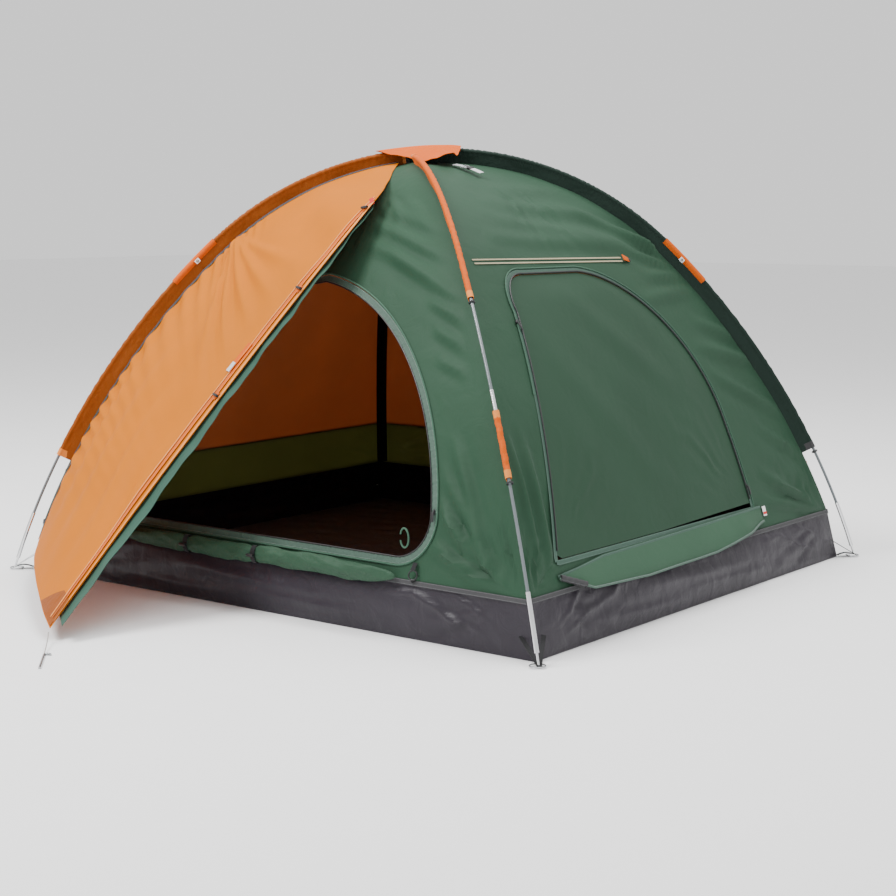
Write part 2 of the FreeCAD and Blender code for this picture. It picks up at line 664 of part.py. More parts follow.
hub_buckle = doc.addObject("PartDesign::Body", "hub_buckle")
buckle_sketch = new_sketch(hub_buckle, "buckle_outline", "XY_Plane")
add_rectangle(buckle_sketch, "sizes.buckle_length", "sizes.buckle_width", ("sizes.buckle_length / 2", "0"))
add_pad(hub_buckle, buckle_sketch, "buckle_block", "sizes.buckle_thickness")
slot_sketch = new_sketch(hub_buckle, "buckle_slots", "XY_Plane")
add_rectangle(slot_sketch, "sizes.buckle_length / 6", "sizes.buckle_width - 8",
              ("sizes.buckle_length / 6", "0"))
add_rectangle(slot_sketch, "sizes.buckle_length / 6", "sizes.buckle_width - 8",
              ("sizes.buckle_length * 5 / 6", "0"))
slots = hub_buckle.newObject("PartDesign::Pocket", "buckle_slot_cut")
slots.Profile = slot_sketch
slots.Type = 1
slots.Reversed = True
slope = Rotation(Y_AXIS, strap_slope)
buckle_lift = size("strap_thickness") + size("lap_gap")
buckle_spot = strap_seat + slope.multVec(Vector(size("strap_length") / 3, 0, buckle_lift))
hub_buckle.Placement = Placement(buckle_spot, slope)
node(hub_buckle, "hub_buckle")

# ---------------------------------------------------------------- doorway fittings

cloth_node("front_zip_tape", front_sheet.common(
    outline_prism(doorway, -size("tape_gap"), 0).cut(
        outline_prism(doorway, -size("tape_gap") - size("door_tape"), 0))))

sill_wall = wall_point(front_left, front_right, size("tub_height"), 0, 0.0)
roll_y = sill_wall.y - size("roll_standoff") - size("roll_depth") / 2
roll_z = size("door_sill") - size("roll_height") / 2 + size("roll_rise")


def oval_bar(label, depth, height, length):
    """Bar of an oval section, centred, along X."""
    oval = doc.addObject("Part::Ellipse", label + "_section")
    bind(oval, MajorRadius="(%s) / 2" % height, MinorRadius="(%s) / 2" % depth)
    oval.Placement = Placement(Vector(0, 0, 0), Rotation(Y_AXIS, 90))
    bar = doc.addObject("Part::Extrusion", label)
    bar.Base = oval
    bar.DirMode = "Custom"
    bar.Dir = X_AXIS
    bar.Symmetric = True
    bar.Solid = True
    bar.setExpression("LengthFwd", length)
    return bar


front_door_roll = oval_bar("front_door_roll", "sizes.roll_depth", "sizes.roll_height", "sizes.roll_length")
front_door_roll.Placement = Placement(Vector(0, roll_y, roll_z), Rotation())
node(front_door_roll, "front_door_roll")

TIE_BORE = "sizes.roll_%s + 2 * sizes.lap_gap"
TIE_OUTSIDE = TIE_BORE + " + 2 * sizes.tie_thickness"
tie_master = doc.addObject("Part::Cut", "tie_master")
tie_master.Base = oval_bar("tie_outside", TIE_OUTSIDE % "depth", TIE_OUTSIDE % "height", "sizes.tie_width")
tie_master.Tool = oval_bar("tie_inside", TIE_BORE % "depth", TIE_BORE % "height", "sizes.tie_width + 2")
toggle_master = doc.addObject("Part::Cylinder", "toggle_master")
bind(toggle_master, Radius="sizes.toggle_radius", Height="sizes.toggle_length")
doc.recompute()


def copies(label, shape, placements):
    """One node of identical pieces."""
    solids = []
    for placement in placements:
        solid = shape.copy()
        solid.Placement = placement.multiply(solid.Placement)
        solids.append(solid)
    cloth_node(label, Part.makeCompound(solids))


ties = [Vector(size(name), roll_y, roll_z) for name in ("first_tie", "second_tie")]
copies("front_door_ties", tie_master.Shape, [Placement(spot, Rotation()) for spot in ties])
toggle_y = -size("roll_depth") / 2 - size("tie_thickness") - 2 * size("lap_gap") - size("toggle_radius")
along_x = Rotation(Y_AXIS, 90)
toggle_shift = Vector(-size("toggle_length") / 2, toggle_y, 0)
copies("front_door_toggles", toggle_master.Shape, [Placement(spot + toggle_shift, along_x) for spot in ties])

hook_z = size("tub_height") + size("hook_rise")
hook_wall = wall_point(front_left, front_right, hook_z, 0, size("hook_x"))
door_hook = doc.addObject("Part::Torus", "door_hook")
bind(door_hook, Radius1="sizes.hook_radius", Radius2="sizes.hook_wire")
hook_spot = hook_wall - Y_AXIS * (size("hook_wire") + size("hook_stand"))
door_hook.Placement = Placement(hook_spot, Rotation(X_AXIS, size("hook_lean")))
node(door_hook, "door_hook")

# ---------------------------------------------------------------- hatch fittings

tape_lift = size("tape_thickness") + size("lap_gap")
tape_rows = wall_rows(front_right, back_right, None, canopy_foot, tape_lift)
tape_sheet = cloth_solid(tape_rows, size("tape_thickness"))
cloth_node("hatch_zip_tape", tape_sheet.common(
    outline_prism(hatch, size("hatch_tape"), 1).cut(outline_prism(hatch, size("tape_gap"), 1))))


def storm_flap_shape():
    """Lens of cloth hung under the hatch: sewn along its top edge, standing off at its hem."""
    front, back = size("flap_front"), size("flap_back")
    end, seam_stand = size("flap_end"), size("flap_seam_stand")
    rows = []
    for step in range(PANEL_STEPS + 1):
        share = step / PANEL_STEPS
        y = front + (back - front) * share
        belly = math.sin(math.pi * (end + (1 - 2 * end) * share)) ** size("flap_fullness")
        top = size("hatch_sill") - size("hatch_tape") - size("flap_drop")
        drop = size("flap_width") * belly
        head = wall_point(front_right, back_right, top, 1, y)
        foot_height = max(top - drop, size("tub_height"))
        stand = size("flap_stand") * belly
        hem_x = wall_point(front_right, back_right, foot_height, 1, y).x + seam_stand + stand
        head = Vector(head.x + seam_stand, y, top)
        hem = Vector(hem_x, y, top - drop)
        inward = Vector(hem - head).normalize().cross(Y_AXIS)
        if inward.x > 0:
            inward = inward * -1
        rows.append((head, hem, inward))
    return cloth_solid(rows, size("cloth"))


cloth_node("storm_flap", storm_flap_shape())

side_tab = doc.addObject("Part::Box", "side_tab")
bind(side_tab, Length="sizes.tab_thickness", Width="sizes.tab_width", Height="sizes.tab_height")
tab_wall = wall_point(front_right, back_right, size("tab_z"), 1, size("tab_y"))
tab_spot = tab_wall + Vector(size("tab_stand"), 0, -size("tab_height") / 2)
side_tab.Placement = Placement(tab_spot, Rotation(Y_AXIS, -size("tab_lean")))
node(side_tab, "side_tab")


def print_hinge(label, spot, axis):
    print("%s hinge %s axis %s" % (label, tuple(spot / 1000), tuple(axis)))


def zip_slider(label, pull_label, spot, travel, outward):
    """Slider and its pull; travel is the way it closes, outward the cloth's normal."""
    slider = doc.addObject("PartDesign::Body", label)
    base = new_sketch(slider, label + "_outline", "XY_Plane")
    add_rectangle(base, "sizes.slider_length", "sizes.slider_width")
    add_pad(slider, base, label + "_block", "sizes.slider_height")
    groove = new_sketch(slider, label + "_throat", "YZ_Plane")
    add_rectangle(groove, "sizes.slider_width / 3", "sizes.slider_height / 2", ("0", "0"))
    throat = slider.newObject("PartDesign::Pocket", label + "_throat_cut")
    throat.Profile = groove
    throat.Midplane = True
    throat.Type = 1
    across = outward.cross(travel)
    matrix = FreeCAD.Matrix(travel.x, across.x, outward.x, 0, travel.y, across.y, outward.y, 0,
                            travel.z, across.z, outward.z, 0, 0, 0, 0, 1)
    turn = Placement(matrix).Rotation
    base_spot = spot + outward * size("slider_lift")
    slider.Placement = Placement(base_spot, turn)
    node(slider, label)
    pull = doc.addObject("PartDesign::Body", pull_label)
    tab = new_sketch(pull, pull_label + "_outline", "XY_Plane")
    add_rectangle(tab, "sizes.pull_length", "sizes.pull_width", ("-sizes.pull_length / 2", "0"))
    add_circle(tab, "sizes.pull_width / 5", ("-sizes.pull_length + sizes.pull_hole", "0"))
    add_pad(pull, tab, pull_label + "_plate", "sizes.pull_thickness", True)
    bar = new_sketch(pull, pull_label + "_bar_outline", "XZ_Plane")
    add_circle(bar, "sizes.pull_thickness / 2")
    add_pad(pull, bar, pull_label + "_bar", "sizes.pull_width", True)
    pull_lift = size("slider_height") + size("pull_gap") + size("pull_thickness") / 2
    pull.Placement = Placement(base_spot + outward * pull_lift, turn)
    node(pull, pull_label)
    hinge = base_spot + outward * pull_lift
    print_hinge(pull_label, hinge, across)


def circle_through(a, b, c):
    """Centre and axis of the circle through three points."""
    u, v = b - a, c - a
    normal = u.cross(v)
    centre = a + (v.cross(normal) * u.dot(u) + normal.cross(u) * v.dot(v)) * (0.5 / normal.dot(normal))
    return centre, Vector(normal).normalize()


def track_report(label, spots):
    """Prints the slider's track as a hinge, because its run along the zip is an arc."""
    centre, axis = circle_through(*spots)
    radius = (spots[0] - centre).Length
    sweep = math.degrees((spots[0] - centre).getAngle(spots[2] - centre))
    print("%s track centre %s axis %s radius %.1f sweep %.2f"
          % (label, tuple(centre / 1000), tuple(axis), radius, sweep))


tape_middle = size("tape_gap") + size("hatch_tape") / 2
side_track = [wall_point(front_right, back_right, height, 1, size("hatch_back") + tape_middle)
              for height in (size("side_slider_z"),
                             (size("side_slider_z") + size("hatch_back_z")) / 2, size("hatch_back_z"))]
side_travel = Vector(side_track[1] - side_track[0]).normalize()
side_out = Vector(side_travel.z, 0, -side_travel.x).normalize()
side_travel = Vector(-side_out.z, 0, side_out.x)
zip_slider("hatch_slider", "hatch_pull", side_track[0], side_travel, side_out)
track_report("hatch_slider", side_track)


def doorway_edge_point(height, inset):
    """Point of the front wall beside the doorway's right edge."""
    radius = size("arch_radius") - inset
    x = math.sqrt(radius ** 2 - (height - size("arch_centre_z")) ** 2) - size("arch_offset")
    return wall_point(front_left, front_right, height, 0, x)


front_track = [doorway_edge_point(size("front_slider_z") + step, size("door_tape") / 2)
               for step in (0.0, size("front_slider_run") / 2, size("front_slider_run"))]
front_travel = Vector(doorway_edge_point(size("front_slider_z") + 1.0, size("door_tape") / 2)
                      - front_track[0]).normalize()
front_out = front_travel.cross(X_AXIS)
front_out = (front_out * (1 if front_out.y < 0 else -1)).normalize()
zip_slider("front_slider", "front_pull", front_track[0], front_travel, front_out)
track_report("front_slider", front_track)

# ---------------------------------------------------------------- wing

def edge_point(share):
    """Point of the wing's free edge, from the hub (0) to the tip (1)."""
    back = 1 - share
    weights = (back ** 3, 3 * back ** 2 * share, 3 * back * share ** 2, share ** 3)
    total = Vector(0, 0, 0)
    for weight, spot in zip(weights, WING_EDGE):
        total = total + Vector(*spot) * weight
    return total


def seam_frame(turn):
    """Point of the wing's sewn edge, just off the front wall beside its left seam, and the wall's normal."""
    step = 0.01
    a, b = front_left.at_turn(turn), front_right.at_turn(turn)
    below = front_left.at_turn(turn + step) + front_right.at_turn(turn + step)
    along = Vector(b - a).normalize()
    inward = along.cross(below - a - b).normalize()
    if inward.z > 0:
        inward = inward * -1
    return a + along * size("wing_seam_front") - inward * size("wing_seam_clear"), inward


def seam_point(share):
    first, last = math.radians(size("wing_top_turn")), math.radians(size("wing_foot_turn"))
    return seam_frame(first + (last - first) * share)[0]


def wing_frame(share):
    """Sewn point, free point and outward normal of the wing at a share of its length."""
    near, far = max(share - 0.02, 0.0), min(share + 0.02, 1.0)
    start, end = seam_point(share), edge_point(share)
    down = (seam_point(far) + edge_point(far)) - (seam_point(near) + edge_point(near))
    outward = Vector(end - start).normalize().cross(down).normalize()
    if outward.y > 0:
        outward = outward * -1
    return start, end, outward


def wing_sheet(first, last):
    rows = []
    for step in range(WING_STEPS + 1):
        share = first + (last - first) * step / WING_STEPS
        start, end, outward = wing_frame(share)
        bowed = (start + end) / 2 + outward * size("wing_belly")
        rows.append((start, bowed, end, outward * -1))
    return cloth_solid(rows, size("cloth"))


def lining_sheet(first, last):
    """Strip behind the free edge, wider towards the tip."""
    top_out = size("lining_top_out")
    rows = []
    for step in range(WING_STEPS + 1):
        share = first + (last - first) * step / WING_STEPS
        start, end, outward = wing_frame(share)
        along = Vector(end - start).normalize()
        depth = outward * -(size("cloth") + size("lining_gap"))
        reach = top_out + (size("lining_out") - top_out) * min(1.0, share * 1.25)
        rows.append((end - along * size("lining_back") + depth, end + along * reach + depth, outward * -1))
    return cloth_solid(rows, size("cloth"))


# the wing swings about a line that touches the bowed sewn edge from outside
hinge_turn = math.radians(size("wing_hinge_turn"))
hinge_seam, hinge_inward = seam_frame(hinge_turn)
hinge_spot = hinge_seam - hinge_inward * size("wing_hinge_clear")
hinge_axis = main_pole.along * -math.cos(hinge_turn) - Z_AXIS * math.sin(hinge_turn)
print_hinge("wing", hinge_spot, hinge_axis)
hatch_foot = wall_point(front_right, back_right, size("hatch_sill"), 1, 0.0)
print_hinge("hatch", hatch_foot + X_AXIS * size("lap_gap"), Y_AXIS)
flap_head = size("hatch_sill") - size("hatch_tape") - size("flap_drop")
flap_seam = wall_point(front_right, back_right, flap_head, 1, 0.0)
print_hinge("flap", flap_seam + X_AXIS * size("flap_seam_stand"), Y_AXIS * -1)

split = size("wing_split")
split_share = size("wing_split_gap") / Vector(edge_point(split + 0.01) - edge_point(split)).Length * 0.01
cloth_node("wing_root", wing_sheet(0.0, split))
cloth_node("wing_flap", wing_sheet(split + split_share, 1.0))
cloth_node("wing_root_lining", lining_sheet(0.06, split))
cloth_node("wing_flap_lining", lining_sheet(split + split_share, 0.985))

toggle_placements = []
for share in (0.06, 0.30):
    start, end, outward = wing_frame(share)
    direction = Vector(edge_point(share + 0.01) - edge_point(share)).normalize()
    inset = Vector(end - start).normalize() * size("wing_toggle_inset")
    spot = end - inset + outward * (size("toggle_radius") + size("toggle_lift"))
    turn = Rotation(Z_AXIS, direction)
    toggle_placements.append(Placement(spot - direction * size("toggle_length") / 2, turn))
copies("wing_toggles", toggle_master.Shape, toggle_placements)

# ---------------------------------------------------------------- tip cord and peg

def rounded_path(spots):
    """Straight runs joined by tangent arcs, each as large as its two runs allow."""
    points = [Vector(*spot) for spot in spots]
    edges, last = [], points[0]
    for before, corner, after in zip(points, points[1:], points[2:]):
        back, ahead = Vector(before - corner), Vector(after - corner)
        turn = math.pi - back.getAngle(ahead)
        trim = 0.45 * min(back.Length, ahead.Length)
        radius = trim / math.tan(turn / 2)
        print("tip cord bend radius %.1f at a turn of %.1f degrees" % (radius, math.degrees(turn)))
        start = corner + back.normalize() * trim
        end = corner + ahead.normalize() * trim
        inward = (Vector(before - corner).normalize() + Vector(after - corner).normalize()).normalize()
        middle = corner + inward * (radius / math.cos(turn / 2) - radius)
        edges.append(Part.LineSegment(last, start).toShape())
        edges.append(Part.Arc(start, middle, end).toShape())
        last = end
    edges.append(Part.LineSegment(last, points[-1]).toShape())
    return Part.Wire(edges)


cord_path = rounded_path(TIP_CORD)
cord_start = Vector(*TIP_CORD[0])
cord_direction = Vector(Vector(*TIP_CORD[1]) - cord_start)
cord_section = Part.Wire(Part.makeCircle(size("tip_cord_radius"), cord_start, cord_direction))
tip_cord_shape = cord_path.makePipeShell([cord_section], True, False)
section_area = math.pi * size("tip_cord_radius") ** 2
print("tip cord volume %.1f, section times length %.1f"
      % (tip_cord_shape.Volume, section_area * cord_path.Length))
cloth_node("tip_cord", tip_cord_shape)

peg_shank = doc.addObject("Part::Cylinder", "peg_shank")
bind(peg_shank, Radius="sizes.peg_radius", Height="sizes.peg_length")
peg_shank.Placement = Placement(Vector(0, 0, 0), Rotation(Y_AXIS, 90))
peg_bend = doc.addObject("Part::Torus", "peg_bend")
bind(peg_bend, Radius1="sizes.peg_hook", Radius2="sizes.peg_radius")
peg_bend.Angle3 = 180
peg_bend.setExpression("Placement.Base.y", "sizes.peg_hook")
peg_bend.Placement.Rotation = Rotation(Z_AXIS, 90)
tip_peg = doc.addObject("Part::Fuse", "tip_peg")
tip_peg.Base, tip_peg.Tool = peg_shank, peg_bend
pull_way = Vector(TIP_CORD[-1][0] - TIP_CORD[0][0], TIP_CORD[-1][1] - TIP_CORD[0][1], 0).normalize()
peg_spot = Vector(TIP_CORD[-1][0], TIP_CORD[-1][1], 0) + pull_way * (size("peg_hook") + 2 * size("peg_radius"))
peg_angle = math.degrees(math.atan2(pull_way.y, pull_way.x))
tip_peg.Placement = Placement(peg_spot + Z_AXIS * (size("peg_radius") + size("lap_gap")),
                              Rotation(Z_AXIS, peg_angle))
node(tip_peg, "tip_peg")

# ---------------------------------------------------------------- corners

webbing_rise = size("webbing_eye") + size("webbing_thickness") + size("lap_gap")
pin_spots = []
for pole in poles:
    foot = pole.side_arc - size("foot_gap") + size("pin_length") / 2
    pin_spots += [pole.point(side, pole.turn_at_length(foot)) for side in (-1, 1)]
floor_corner = Vector(half_width - size("floor_inset"), half_depth - size("floor_inset"), 0)
nearest_pin = min(Vector(spot.x, spot.y, 0).Length for spot in pin_spots)
webbing_length = nearest_pin - floor_corner.Length - size("ring_radius") - size("webbing_gap")

webbing_master = doc.addObject("PartDesign::Body", "webbing_master")
eye_sketch = new_sketch(webbing_master, "eye_outline", "XZ_Plane")
add_circle(eye_sketch, "sizes.webbing_eye + sizes.webbing_thickness")
add_pad(webbing_master, eye_sketch, "eye_pad", "sizes.webbing_width", True)
strip_sketch = new_sketch(webbing_master, "strip_outline", "XZ_Plane")
add_rectangle(strip_sketch, str(webbing_length), "sizes.webbing_thickness * 2",
              (str(webbing_length / 2), "0"))
add_pad(webbing_master, strip_sketch, "strip_pad", "sizes.webbing_width", True)
hole_sketch = new_sketch(webbing_master, "eye_hole", "XZ_Plane")
add_circle(hole_sketch, "sizes.webbing_eye")
doc.recompute()
eye_cut = webbing_master.newObject("PartDesign::Pocket", "eye_cut")
eye_cut.Profile = hole_sketch
eye_cut.Midplane = True
eye_cut.Type = 1
ring_master = doc.addObject("Part::Torus", "ring_master")
bind(ring_master, Radius1="sizes.ring_radius", Radius2="sizes.ring_wire")
doc.recompute()

ring_placements, webbing_placements = [], []
for spot in pin_spots:
    inward = Vector(spot.x, spot.y, 0).normalize() * -1
    centre = Vector(spot.x, spot.y, webbing_rise)
    ring_placements.append(Placement(centre, Rotation()))
    turn = Rotation(Z_AXIS, math.degrees(math.atan2(inward.y, inward.x)))
    webbing_placements.append(Placement(centre + inward * size("ring_radius"), turn))
copies("corner_rings", ring_master.Shape, ring_placements)
copies("corner_webbing", webbing_master.Shape, webbing_placements)


def guy_tab_outline():
    """Saddle of cloth over the sleeve."""
    inner = size("sleeve_bore") + size("sleeve_wall") + size("lap_gap")
    outer = inner + size("guy_tab_wall")
    return [[((0, inner), (inner, 0), (0, -inner)), ((0, -inner), (0, -outer)),
             ((0, -outer), (outer, 0), (0, outer)), ((0, outer), (0, inner))]]


guy_start = math.radians(size("guy_tab_turn") - size("guy_tab_span") / 2)
guy_end = math.radians(size("guy_tab_turn") + size("guy_tab_span") / 2)
guy_tabs = [placed(main_pole.profile(side, guy_start, guy_end, guy_tab_outline()), main_pole)
            for side in (-1, 1)]
cloth_node("sleeve_guy_tabs", Part.makeCompound(guy_tabs))

# ---------------------------------------------------------------- export

doc.recompute()
for obj in doc.Objects:
    if "Invalid" in obj.State or "Error" in obj.State:
        raise RuntimeError("%s is %s" % (obj.Label, obj.State))
for obj in nodes:
    if obj.Shape.isNull() or not obj.Shape.isValid() or obj.Shape.Volume <= 0:
        raise RuntimeError("%s has no valid shape" % obj.Label)
os.makedirs("parts", exist_ok=True)
for obj in nodes:
    obj.Shape.exportStep(os.path.join("parts", obj.Label + ".step"))
print("%d nodes" % len(nodes))
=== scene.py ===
import json
import logging
import math
from dataclasses import dataclass
from enum import Enum
from typing import Callable, Optional, Sequence

import bpy
import numpy as np
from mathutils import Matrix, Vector

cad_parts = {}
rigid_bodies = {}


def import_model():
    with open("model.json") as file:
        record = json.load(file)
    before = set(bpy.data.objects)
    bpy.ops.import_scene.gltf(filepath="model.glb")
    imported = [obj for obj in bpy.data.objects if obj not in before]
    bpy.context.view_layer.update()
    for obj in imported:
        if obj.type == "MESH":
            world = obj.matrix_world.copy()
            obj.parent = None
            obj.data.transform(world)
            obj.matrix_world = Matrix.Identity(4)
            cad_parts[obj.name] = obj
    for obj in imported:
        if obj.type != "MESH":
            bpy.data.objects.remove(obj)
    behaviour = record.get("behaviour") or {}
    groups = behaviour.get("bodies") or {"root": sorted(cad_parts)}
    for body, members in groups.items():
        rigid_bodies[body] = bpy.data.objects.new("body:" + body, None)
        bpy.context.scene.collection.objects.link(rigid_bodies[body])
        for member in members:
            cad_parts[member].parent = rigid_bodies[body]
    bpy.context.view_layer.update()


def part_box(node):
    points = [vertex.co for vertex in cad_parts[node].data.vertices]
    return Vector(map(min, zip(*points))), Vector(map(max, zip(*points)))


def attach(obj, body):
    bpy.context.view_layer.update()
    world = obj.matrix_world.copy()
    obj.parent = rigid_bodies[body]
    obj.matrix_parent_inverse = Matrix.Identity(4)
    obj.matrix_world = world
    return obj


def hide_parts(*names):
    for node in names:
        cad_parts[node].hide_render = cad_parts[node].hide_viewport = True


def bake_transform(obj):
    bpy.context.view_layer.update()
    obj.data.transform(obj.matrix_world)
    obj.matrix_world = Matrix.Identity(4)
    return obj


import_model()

log = logging.getLogger("dome_tent")

Pair = tuple[float, float]
Triple = tuple[float, float, float]
Points = np.ndarray
Relief = Callable[[Points, Points], Points]

CLOTH = 0.0012        # how thick the canopy's cloth is shown
FINE = 0.0006         # tapes and bindings
TAU = 2 * math.pi


class Body(str, Enum):
    """The bodies that pieces ride on."""

    TENT = "tent"
    HATCH = "hatch"
    FLAP = "flap"
    WING = "wing"
    HATCH_SLIDER = "hatch_slider_body"
    HATCH_PULL = "hatch_pull_body"
    FRONT_SLIDER = "front_slider_body"
    FRONT_PULL = "front_pull_body"


# ------------------------------------------------------------------ small maths

def unit(v: Points) -> Points:
    """Vectors scaled to length one."""
    return v / np.maximum(np.linalg.norm(v, axis=-1, keepdims=True), 1e-12)


def mix(a: Points, b: Points, share: Points) -> Points:
    """Points part of the way from a to b.

    Args:
        a: first points, one row each.
        b: last points.
        share: how far along, one number for each row.

    Returns:
        The points between.
    """
    share = np.asarray(share, float)[..., None]
    return a * (1 - share) + b * share


def smooth(x: Points) -> Points:
    """Smoothstep from 0 to 1."""
    x = np.clip(x, 0.0, 1.0)
    return x * x * (3 - 2 * x)


def ripple(points: Points, pitch: float, seed: int, waves: int = 8) -> Points:
    """Soft random undulation, about -1 to 1, the same each run.

    Args:
        points: where it is wanted.
        pitch: usual distance between crests, in metres.
        seed: which pattern.
        waves: how many plane waves make it up.

    Returns:
        One number for each point.
    """
    rng = np.random.default_rng(seed)
    total = np.zeros(len(points))
    for _ in range(waves):
        way, turn_way = unit(rng.normal(size=3)), unit(rng.normal(size=3))
        rate = TAU / (pitch * rng.uniform(0.7, 1.6))
        bend = np.sin(points @ turn_way * rate * 0.6 + rng.uniform(0, TAU))
        total += np.sin(points @ way * rate + rng.uniform(0, TAU) + bend)
    return total / waves


@dataclass(frozen=True)
class Fold:
    """One soft crease on a wall, between two places given across and up it."""

    start: Pair
    end: Pair
    depth: float = 0.005
    width: float = 0.014

    def lift(self, across: Points, height: Points) -> Points:
        """How far the cloth is pushed out at each place."""
        dx, dz = self.end[0] - self.start[0], self.end[1] - self.start[1]
        along = ((across - self.start[0]) * dx + (height - self.start[1]) * dz) / (dx * dx + dz * dz)
        held = np.clip(along, 0.0, 1.0)
        away = np.hypot(across - self.start[0] - held * dx, height - self.start[1] - held * dz)
        swell = np.sin(math.pi * held) ** 0.8
        ridge = np.exp(-(away / self.width) ** 2)
        valley = np.exp(-((away - 1.9 * self.width) / self.width) ** 2)
        return self.depth * swell * (ridge - 0.35 * valley)


@dataclass(frozen=True)
class Fan:
    """Creases that run out from a corner where the cloth is pulled."""

    centre: Pair
    first: float
    last: float
    count: int
    inner: float
    outer: float
    depth: float

    def lift(self, across: Points, height: Points) -> Points:
        """How far the cloth is pushed out at each place; the angles are in degrees."""
        dx, dz = across - self.centre[0], height - self.centre[1]
        away = np.hypot(dx, dz)
        turn = (np.degrees(np.arctan2(dz, dx)) - self.first) % 360.0
        share = turn / (self.last - self.first)
        wander = share + 0.03 * np.sin(away * 31.0 + self.count) + 0.012 * np.sin(away * 67.0)
        uneven = 0.6 + 0.4 * np.sin(share * 17.0 + self.count)
        ridge = 1 - 2 * np.abs(np.sin(math.pi * self.count * wander)) ** 0.8
        window = smooth((away - self.inner) / (0.25 * self.outer))
        window = window * smooth((self.outer - away) / (0.75 * self.outer))
        window = window * np.where(share <= 1.0, np.sin(math.pi * np.clip(share, 0, 1)) ** 0.35, 0.0)
        return self.depth * ridge * uneven * window


def relief_of(folds: Sequence[Fold | Fan], strength: float = 1.0) -> Relief:
    """One function that adds up what the folds do, made stronger or weaker."""
    def lift(across: Points, height: Points) -> Points:
        total = np.zeros(len(across))
        for fold in folds:
            total += fold.lift(across, height)
        return total * strength
    return lift


# ------------------------------------------------------------------ the tent's lines

@dataclass
class PoleLine:
    """A pole's centre line: a crown arc and two flank arcs, in a plane that may lean."""

    foot: Pair
    height: float
    lean: float = 0.0
    crown: float = math.radians(43.9)
    end: float = math.radians(72.1)

    def __post_init__(self) -> None:
        """Work out the two bends from the span and the height."""
        span = math.hypot(*self.foot)
        self.along = np.array([self.foot[0], self.foot[1], 0.0]) / span
        normal = np.array([-self.along[1], self.along[0], 0.0])
        normal = -normal if normal[0] > 0 else normal
        self.up = normal * math.sin(self.lean) + np.array([0.0, 0.0, math.cos(self.lean)])
        self.across = np.cross(self.up, self.along)
        sin_c, cos_c = math.sin(self.crown), math.cos(self.crown)
        sin_f, cos_f = math.sin(self.end), math.cos(self.end)
        scale = sin_c * (cos_c - cos_f) - (1 - cos_c) * (sin_f - sin_c)
        self.crown_bend = (span * (cos_c - cos_f) - self.height * (sin_f - sin_c)) / scale
        self.flank_bend = (self.height * sin_c - span * (1 - cos_c)) / scale

    def point(self, side: int, turn: Points, offset: Points = 0.0, across: Points = 0.0) -> Points:
        """Points off the line.

        Args:
            side: 1 or -1, which way from the crown.
            turn: how far the line has turned from the crown, in radians.
            offset: distance outwards from the line.
            across: distance out of the pole's plane.

        Returns:
            The points, one row each.
        """
        turn, offset, across = np.broadcast_arrays(*(np.asarray(x, float) for x in (turn, offset, across)))
        step = self.crown_bend - self.flank_bend
        flank = turn >= self.crown
        bend = np.where(flank, self.flank_bend, self.crown_bend) + offset
        reach = np.where(flank, step * math.sin(self.crown), 0.0) + bend * np.sin(turn)
        rise = self.height - self.crown_bend + np.where(flank, step * math.cos(self.crown), 0.0)
        rise = rise + bend * np.cos(turn)
        flat = (side * reach)[..., None] * self.along
        return flat + rise[..., None] * self.up + across[..., None] * self.across

    def turn_at_height(self, height: float, offset: float) -> float:
        """Turn at which the offset line has come down to a height."""
        low, high = 0.0, self.end + 0.2
        for _ in range(50):
            middle = (low + high) / 2
            low, high = (middle, high) if self.point(1, middle, offset)[2] > height else (low, middle)
        return low


@dataclass
class Seam:
    """Where two walls meet, inside one half of a pole."""

    pole: PoleLine
    side: int
    drop: float
    start: float

    def at(self, turn: Points) -> Points:
        """Points of the seam at turns from the crown."""
        return self.pole.point(self.side, turn, self.drop)

    def at_height(self, height: float) -> Points:
        """The seam's point at a height."""
        return self.at(self.pole.turn_at_height(height, self.drop))


